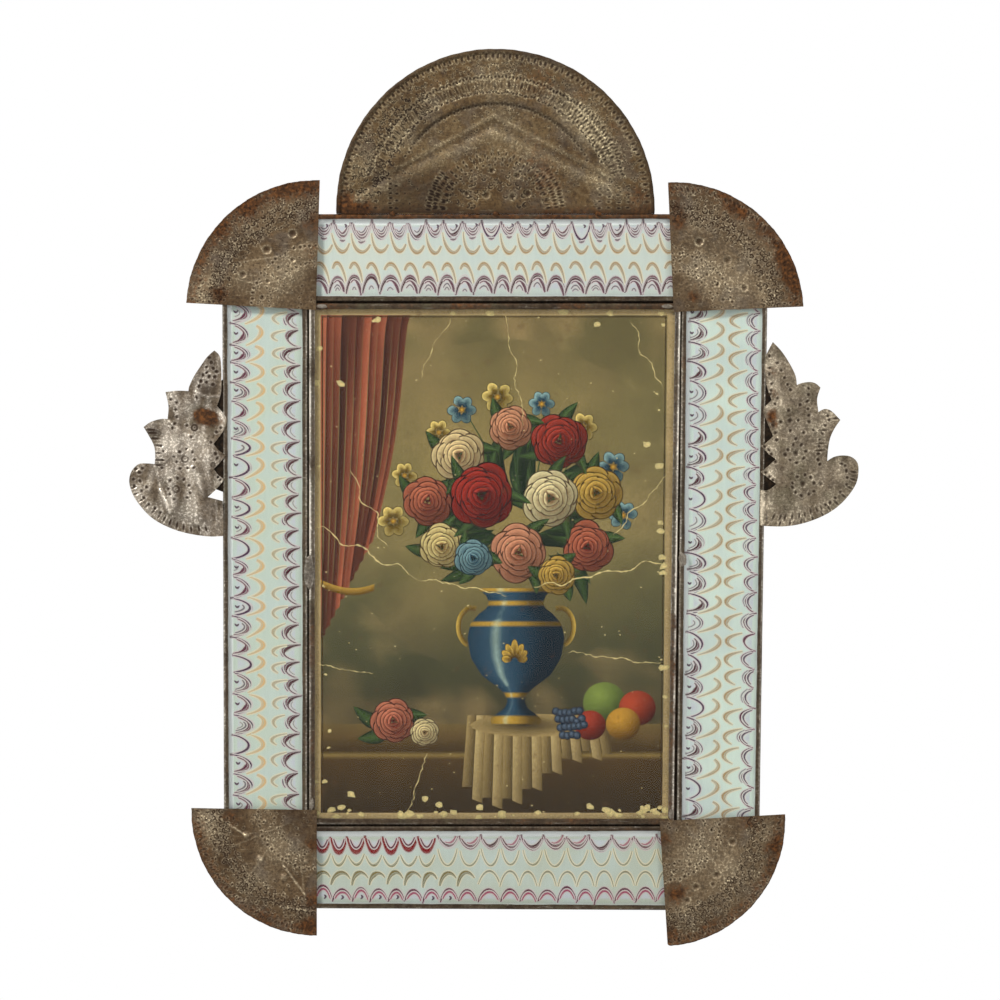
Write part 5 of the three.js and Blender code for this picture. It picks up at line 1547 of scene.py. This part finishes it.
# What was struck into each wing, as steps out from the panel's edge and heights over the wing's foot
wing_work = {}
wing_work["left"] = {
    "dots": [
        (11.1, 114.7), (6.6, 117.8), (5.3, 111.6), (14.7, 108.9), (10.6, 118.7), (6.6, 105.8), (18.3, 97.3),
        (11.1, 108), (3.9, 115.1), (9.2, 125), (7.6, 121.5), (13.4, 113), (16.4, 105.4), (9, 112),
        (32.1, 93.7), (32.1, 88.8), (31.7, 83.9), (33.1, 79.4), (35.3, 75.9), (25, 77.6), (21.9, 69.6),
        (4.1, 72.7), (8.1, 65.6), (3.7, 54.4), (1.9, 39.3), (36, 96), (38, 91), (3.2, 41.5), (5.2, 57.5),
        (1.2, 76), (30, 58.9), (25.5, 61.1), (21.1, 58.9), (19.7, 53.1), (20.2, 48.2), (24.7, 47.3),
        (29.6, 47.7), (32.3, 51.8), (34, 55.8), (36.8, 39.3), (31.8, 40.1), (26.9, 39.7), (23.4, 35.7),
        (22.9, 30.3), (24.7, 26.8), (33.7, 25.4), (37.2, 29.4), (38.1, 33), (58.6, 44.6), (62.2, 40.1),
        (61.8, 34.8), (56.9, 31.2), (54.7, 26.8), (51.5, 22.7), (47.5, 19.2), (44, 16.5), (57.8, 38.6),
        (53.6, 34.4), (56, 47.5), (60.5, 47), (42.9, 63.4), (41.6, 58.9), (41.6, 53.1), (42.5, 48.2),
    ],
    "side_bars": [(45.4, 63.4), (44.6, 58.9), (44.3, 53.6), (44.5, 50), (47.5, 68.5), (49.5, 72.3),
                  (50, 74.6)],
    "foot_bars": [(45, 14.6), (41, 12.2), (37, 9.6), (32.5, 7.6), (27.6, 6), (22.2, 4.8), (17.2, 5),
                  (11.4, 5.2), (49, 17.8), (53, 21.4), (57, 25.4), (60.4, 30), (62.8, 34)],
    "rings": [(19.7, 75.9, 2.0), (26.4, 54, 2.2), (32.8, 33, 2.2), (6.8, 50, 1.3)],
    "blows": [],
    "folds": [
        ((46.5, 49), (43.5, 30), 1.0, 0.7, 0.5), ((43.5, 32), (37.3, 16.9), 1.2, 1.0, 1.3),
        ((21.1, 48.2), (13.1, 28.5), 1.4, 0.5, 0.7), ((20.3, 31.2), (18.5, 8.9), 1.1, 0.5, 0.7),
        ((38, 70), (31, 42), 2.6, 0.4, 0.1), ((12, 66), (9.5, 30), 1.6, 0.45, 0.4),
        ((28, 90), (24, 64), 2.2, -0.35, 0), ((5, 33), (4.2, 8), 0.8, 0.5, 0.6),
        ((40, 82), (30, 74), 1.1, 0.5, 0.5), ((18.3, 100.9), (10.2, 97.3), 0.9, 0.5, 0.8),
        ((10.2, 97.3), (2.2, 98.2), 0.9, 0.5, 0.8), ((2.4, 30), (2.2, 4), 0.5, -0.4, 0),
    ],
    "wear_and_highlight": [
        (32.7, 66, 8, 1.0), (38.9, 62.5, 6, 0.7), (18.4, 40.1, 6, 0.9), (38.1, 24.1, 5, 1.1),
        (1.8, 85.7, 3.5, 1.4), (36, 97, 6, 0.7), (50, 78, 4, 0.9), (17, 68, 6, 0.9), (28, 52, 9, 0.5),
        (60, 30, 6, 0.7), (50, 17, 6, 0.7), (21, 12, 6, 0.7), (9, 114, 8, 0.2), (40, 44, 5, 0.8),
        (4, 53, 4, 0.5), (10, 20, 5, 0.4), (30, 14, 5, 0.6),
    ],
    "dark": [(11.1, 101.8, 5.5, 0.8), (10, 116, 14, 0.24), (12, 32, 7, 0.4), (32, 13, 7, 0.5),
             (14, 12, 6, 0.35), (52, 60, 6, 0.35), (6, 62, 5, 0.3), (45, 72, 4, 0.5), (48, 50, 5, 0.35),
             (38, 8, 5, 0.3), (12, 4, 6, 0.3)],
    "rust": [(12, 84.5, 7, 0.9), (6, 82, 6, 0.7), (17, 85, 6, 0.7), (3, 70, 5, 0.35)],
    "patchy": 1.15,
}
wing_work["right"] = {
    "dots": [
        (1.8, 119.8), (7.5, 114.7), (2, 111.4), (10.4, 109.8), (2.5, 106.2), (12.8, 104.8), (3.8, 99.8),
        (14.8, 99.8), (3.5, 95.7), (16.9, 95.9), (3.1, 93), (15.9, 81.8), (10.4, 73.4), (22.6, 74.3),
        (17.5, 67.2), (23.8, 85.5), (29.5, 97.3), (29.5, 92.6), (29, 88), (29.5, 82.8), (30.2, 78),
        (30.2, 73.4), (43.4, 78), (44.3, 75.2), (41.6, 70.9), (39.8, 65.3), (38, 61.1), (37.6, 56.4),
        (37.6, 51.2), (37.3, 46.6), (38.7, 43.7), (53.7, 44.7), (56.1, 42.8), (57.1, 39.1), (57.6, 34.4),
        (56.8, 29.6), (53.1, 25), (49.5, 20.2), (45.8, 16.9), (42.8, 15.5), (19.7, 57.4), (25.4, 57.2),
        (16, 53.9), (28.6, 52.8), (14.4, 50.2), (17.6, 46.6), (27, 47.6), (22.4, 44.9), (22.4, 35.6),
        (28.4, 36.4), (32.2, 35), (19.2, 30.6), (19.2, 28.2), (34.4, 30.6), (22, 24), (26, 21.6),
        (30.6, 22.6), (34.4, 25.4), (-0.5, 56.4), (2.3, 53.8), (4.6, 51), (7.2, 45.6), (3.2, 35.3),
        (5.8, 32.8), (0.4, 38), (26, 66), (21, 61.5), (33, 68), (6, 86), (8, 90), (5, 71), (7, 66), (8, 61),
    ],
    "side_bars": [(40.2, 67.6), (38.6, 58.8), (38.2, 53.8), (47, 81), (49.5, 76)],
    "foot_bars": [(39.9, 13.2), (36.6, 11.8), (32.4, 10.4), (28.3, 8.9), (24.1, 7.5), (19.4, 7.1),
                  (14.7, 6.8), (10.5, 6.5), (6.4, 6.5), (45, 13), (50.4, 17), (55.4, 21.6), (59.6, 27),
                  (61.8, 33), (62.2, 38.4), (41, 9), (34, 5.6), (26, 3.4), (18, 2.6), (11, 2.4)],
    "rings": [],
    "blows": [(17.1, 74.3, 1.7), (21.6, 51.7, 1.8), (26.6, 30.1, 1.9), (39, 30, 1.5)],
    "folds": [
        ((8.5, 104), (9, 62), 1.2, 0.5, 0.35), ((9, 62), (9.5, 30), 1.0, 0.3, 0.15),
        ((-1.4, 25), (-1.6, 2), 1.3, 0.5, 1.8), ((1.6, 25), (1.8, 2), 0.6, -0.5, 0),
        ((5.6, 118), (6.4, 94), 1.4, 0.45, 0.3), ((40, 72), (25, 60), 1.4, 0.35, 0.15),
        ((44, 40), (30, 12), 1.8, -0.3, 0), ((24, 90), (40, 78), 1.2, 0.3, 0.15),
    ],
    "wear_and_highlight": [
        (2.6, 112, 6, 1.0), (3, 99, 5, 1.1), (2, 84, 4, 0.9), (3, 54, 5, 0.9), (3.5, 37, 5, 1.3),
        (-1, 15, 7, 0.8), (14, 90, 9, 0.3), (30, 72, 9, 0.3), (44, 76, 6, 0.35), (22, 10, 8, 0.35),
        (34, 34, 6, 0.4), (50, 40, 8, 0.3),
    ],
    "dark": [(17.1, 74.3, 4, 0.4), (21.6, 51.7, 4, 0.35), (26.6, 30.1, 4, 0.35), (30, 90, 7, 0.2),
             (14, 12, 6, 0.3), (36, 46, 7, 0.2), (59, 38, 4, 0.3)],
    "rust": [(4, 108, 7, 0.5), (5.5, 93, 6, 0.5), (3.5, 79, 5, 0.75), (5, 72, 5, 0.6), (7, 120, 6, 0.3),
             (59, 38, 5, 0.4), (1.5, 47, 4, 0.4)],
    "patchy": 0.55,
}


def panel_edge(side, z):
    share = (187 - z) / 374
    return -189.7 + 1.2 * share if side == "left" else 192.15 - 5.7 * share


def curved(points):
    """Points along a smooth line through the given ones."""
    line = [points[0], *points, points[-1]]
    made = []
    for a, b, c, d in zip(line, line[1:], line[2:], line[3:]):
        a, b, c, d = (np.array(p) for p in (a, b, c, d))
        for t in np.arange(0, 1, 0.2):
            made.append(0.5 * (2 * b + (c - a) * t + (2 * a - 5 * b + 4 * c - d) * t ** 2
                               + (3 * b - a - 3 * c + d) * t ** 3))
    return made


def wing_marks(side, seed):
    hand, foot, work = -1 if side == "left" else 1, wing_foot[side], wing_work[side]

    def shape(sheet):
        rng = np.random.default_rng(seed)

        def at(u, up, spread=0.0):
            z = foot + up + rng.normal(0, spread)
            return panel_edge(side, z) + hand * (u + rng.normal(0, spread)), z

        for u, up in work["dots"]:
            place = at(u, up, 0.25)
            sheet.punch(*place, rng.uniform(0, 3), rng.uniform(0.85, 1.15), rng.uniform(1, 1.4), 0.45)
            sheet.patch(sheet.pit, *place, 1.7, 0.2)
        for u, up in work["side_bars"]:
            sheet.punch(*at(u, up, 0.2), 0.05 * hand, 0.8, 3.2, 0.45)
        for u, up in work["foot_bars"]:
            sheet.punch(*at(u, up, 0.25), math.atan2(up - 45, hand * (u - 25)), 0.75, 2.3, 0.42)
        for u, up, bow in work["rings"]:
            sheet.crescent(*at(u, up), 0, bow, 0.7, 0.2, closed=3)
            sheet.punch(*at(u, up), 0, 0.5, 0.5, 0.25)
        for u, up, wide in work["blows"]:
            sheet.dimple(*at(u, up), wide, 0.6 * wide)
        for _ in range(stray_marks):
            sheet.punch(*at(rng.uniform(0, 64), rng.uniform(2, 126)), rng.uniform(0, 3), 0.35,
                        rng.uniform(0.4, 1.2), rng.uniform(0.05, 0.2))
        # Folds stand up; most carry a painted highlight along their tops
        for start, end, wide, tall, rub_and_highlight in work["folds"]:
            sheet.ridge(at(*start), at(*end), wide, tall, rub_and_highlight)
        sheet.wave(22, 1.3, seed)
        sheet.wave(8, 0.5, seed + 3)
        sheet.wave(2.6, 0.09, seed + 6)
        patchy = np.array([noise.noise((x / 6, seed, z / 17)) for x, z in zip(sheet.x, sheet.z)])
        sheet.wear_and_highlight += np.clip(0.2 + work["patchy"] * patchy, 0, 1)
        sheet.pit += 0.55 * np.clip(-work["patchy"] * patchy - 0.1, 0, 1)
        for layer, key in ((sheet.wear_and_highlight, "wear_and_highlight"), (sheet.pit, "dark"), (sheet.rust, "rust")):
            for u, up, reach, strength in work[key]:
                sheet.patch(layer, *at(u, up), reach, strength)
    return shape


for seed, side, material in ((51, "left", wing_tin), (52, "right", matt_wing_tin)):
    hand = -1 if side == "left" else 1
    steps, last = [], None
    for run in wing_runs[side]:
        steps += curved([last, *run] if last else run)
        last = run[-1]
    outline = [(panel_edge(side, z) + hand * u, z) for u, z in steps]
    tin_piece(f"punched_wing_{side}", f"wing_{side}", outline, wing_marks(side, seed), seed, material,
              wing_spacing, wing_front)

# Solder: soft lead and tin run into the joints with an iron, so it lies in dull lumps. Near-black strips
# fill the gaps behind the teeth of the wings as painted shade.
solder_metal = browned_tinplate("dull_lead_tin_solder", "#3b342b", "#62594d", "#857b6d", "#d8cfc0",
                                0.46, 0.32, 0.4)
for place in ("seam_top", "seam_right", "seam_bottom", "seam_left", "wing_left", "wing_right"):
    coat(f"solder_{place}", solder_metal)


def lump(name, low, high, seed, roughness=0.22, rusty=0.0, replaced=None):
    """A lumpy bead that fills a box, given by two corners in millimetres."""
    low, high = np.array(low), np.array(high)
    middle, half = (low + high) / 2, (high - low) / 2
    rings, around = 14, 22
    points = []
    for i in range(rings + 1):
        rise = math.pi * i / rings
        for k in range(around):
            turn = 2 * math.pi * k / around
            way = np.array((math.sin(rise) * math.cos(turn), math.cos(rise),
                            math.sin(rise) * math.sin(turn)))
            grain = noise.noise(Vector(way * 1.3) + Vector((seed, 0, 0)))
            grain += 0.5 * noise.noise(Vector(way * 3.1))
            points.append(middle + half * way * (0.92 + roughness * grain))
    wear_and_highlight = [0.3 + 0.3 * noise.noise(Vector(p) * 0.4 + Vector((seed, 0, 0))) for p in points]
    rust = [rusty] * len(points)
    faces = skinned(rings + 1, around, False, True)
    return finished(name, points, faces, solder_metal, {"wear_and_highlight": wear_and_highlight, "rust": rust},
                    replaced=replaced)


lump_places = ("corner_top_left", "corner_top_right", "corner_bottom_right", "corner_bottom_left",
               "crest_left", "crest_middle", "crest_right")
for seed, place in enumerate(lump_places):
    low, high = (np.array(p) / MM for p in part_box(f"solder_{place}"))
    rusty = 0.85 if place.startswith("crest") else 0.0
    lump(f"lumpy_solder_{place}", low, high, seed * 7.3, 0.22, rusty, f"solder_{place}")
lump("solder_bridge_left", (-132.6, -8.0, -18), (-125.2, -6.9, 7), 61.2, 0.2)
lump("solder_bridge_right", (129.8, -8.0, -2), (135.6, -6.9, 8), 73.1, 0.2)

# A near-black matt material that stands in for the shade in narrow gaps, with a faint mottle
painted_gap_shade, tree = new_material("painted_gap_shade_black")
place = node(tree, "TexCoord").outputs["Object"]
black_mottle = node(tree, "TexNoise", {"Vector": place, "Scale": size(2.5), "Detail": 3.0})
tone = node(tree, "ValToRGB", {"Fac": black_mottle}, [(0.35, "#0e0a06"), (0.7, "#2f2317")])
bump = node(tree, "Bump", {"Strength": 0.5, "Distance": 0.4 * MM, "Height": black_mottle})
shader = node(tree, "BsdfPrincipled", {
    "Base Color": tone, "Roughness": 0.8, "Specular IOR Level": 0.1, "Normal": bump,
})
node(tree, "OutputMaterial", {"Surface": shader})
seam_steps = {
    "left": [(-0.3, 31), (5.2, 33), (6.5, 45), (6.3, 60), (6.1, 75), (5.4, 86), (3.6, 96), (1.6, 108),
             (-0.3, 110)],
    "right": [(-0.3, 24), (5.6, 25), (9.0, 29), (8.8, 32), (7.0, 38), (8.6, 47), (7.0, 53), (6.3, 62),
              (5.4, 86), (3.6, 96), (1.6, 108), (-0.3, 110)],
}
for side in ("left", "right"):
    hand = -1 if side == "left" else 1
    heights = [(u, wing_foot[side] + up) for u, up in seam_steps[side]]
    seam_outline = [(panel_edge(side, z) + hand * u, z) for u, z in heights]
    slab(f"gap_shade_strip_{side}", seam_outline, -7.3, -6.6, painted_gap_shade)

# The gaps between the window and the panels, and under the crest, get the same near-black strips as painted
# shade
gap_front, gap_rear = -5.4, -3.2
window_outline = grown(corners_of("cover_glass"), layer_inset)
for side, name in enumerate(side_names):
    panel_outline = grown(corners_of(f"{name}_pane"), layer_inset)
    first, last = panel_outline[(side + 3) % 4], panel_outline[(side + 2) % 4]
    near, far = window_outline[side], window_outline[(side + 1) % 4]
    along = (far - near) / np.hypot(*(far - near))
    edge = [near - 1.2 * along, far + 1.2 * along, last, first]
    slab(f"gap_shade_fill_{name}", edge, gap_front, gap_rear, painted_gap_shade)
slab("gap_shade_fill_crest", upright_box(-109.6, 112.8, 245.0, 245.3), -7.0, -6.4, painted_gap_shade)

# Hanger: a ring of iron wire, bent round with its ends butted. A strip of tin is folded over it and
# soldered to the back of the top panel, and the ring swings in its loop.
ring_low, ring_high = (np.array(p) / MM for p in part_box("hanging_ring"))
ring_centre = (ring_low + ring_high) / 2
wire_radius = (ring_high[1] - ring_low[1]) / 2
ring_radius = (ring_high[0] - ring_low[0]) / 2 - wire_radius
ring_steps, wire_steps = 96, 16
points, rust = [], []
for i in range(ring_steps):
    turn = 2 * math.pi * i / ring_steps
    butt = min(i, ring_steps - i)
    for k in range(wire_steps):
        round_wire = 2 * math.pi * k / wire_steps
        thick = wire_radius * (1 - 0.22 * (butt == 0) + 0.02 * noise.noise((turn * 9, round_wire, 3)))
        reach = ring_radius + thick * math.cos(round_wire)
        points.append(ring_centre + (reach * math.sin(turn), thick * math.sin(round_wire),
                                     -reach * math.cos(turn)))
        rust.append(0.35 + 0.3 * noise.noise((turn * 3, round_wire, 1)))
# Drawn iron wire: dark grey with a skin of brown rust
iron = browned_tinplate("rusty_drawn_iron_wire", "#2c2723", "#4b453e", "#6b645a", "#a79e90",
                        0.42, 0.5, 0.5)
faces = skinned(ring_steps, wire_steps, True, True)
finished("bent_wire_ring", points, faces, iron, {"rust": rust}, "ring", "hanging_ring")
coat("hanger_strap", back_tin)
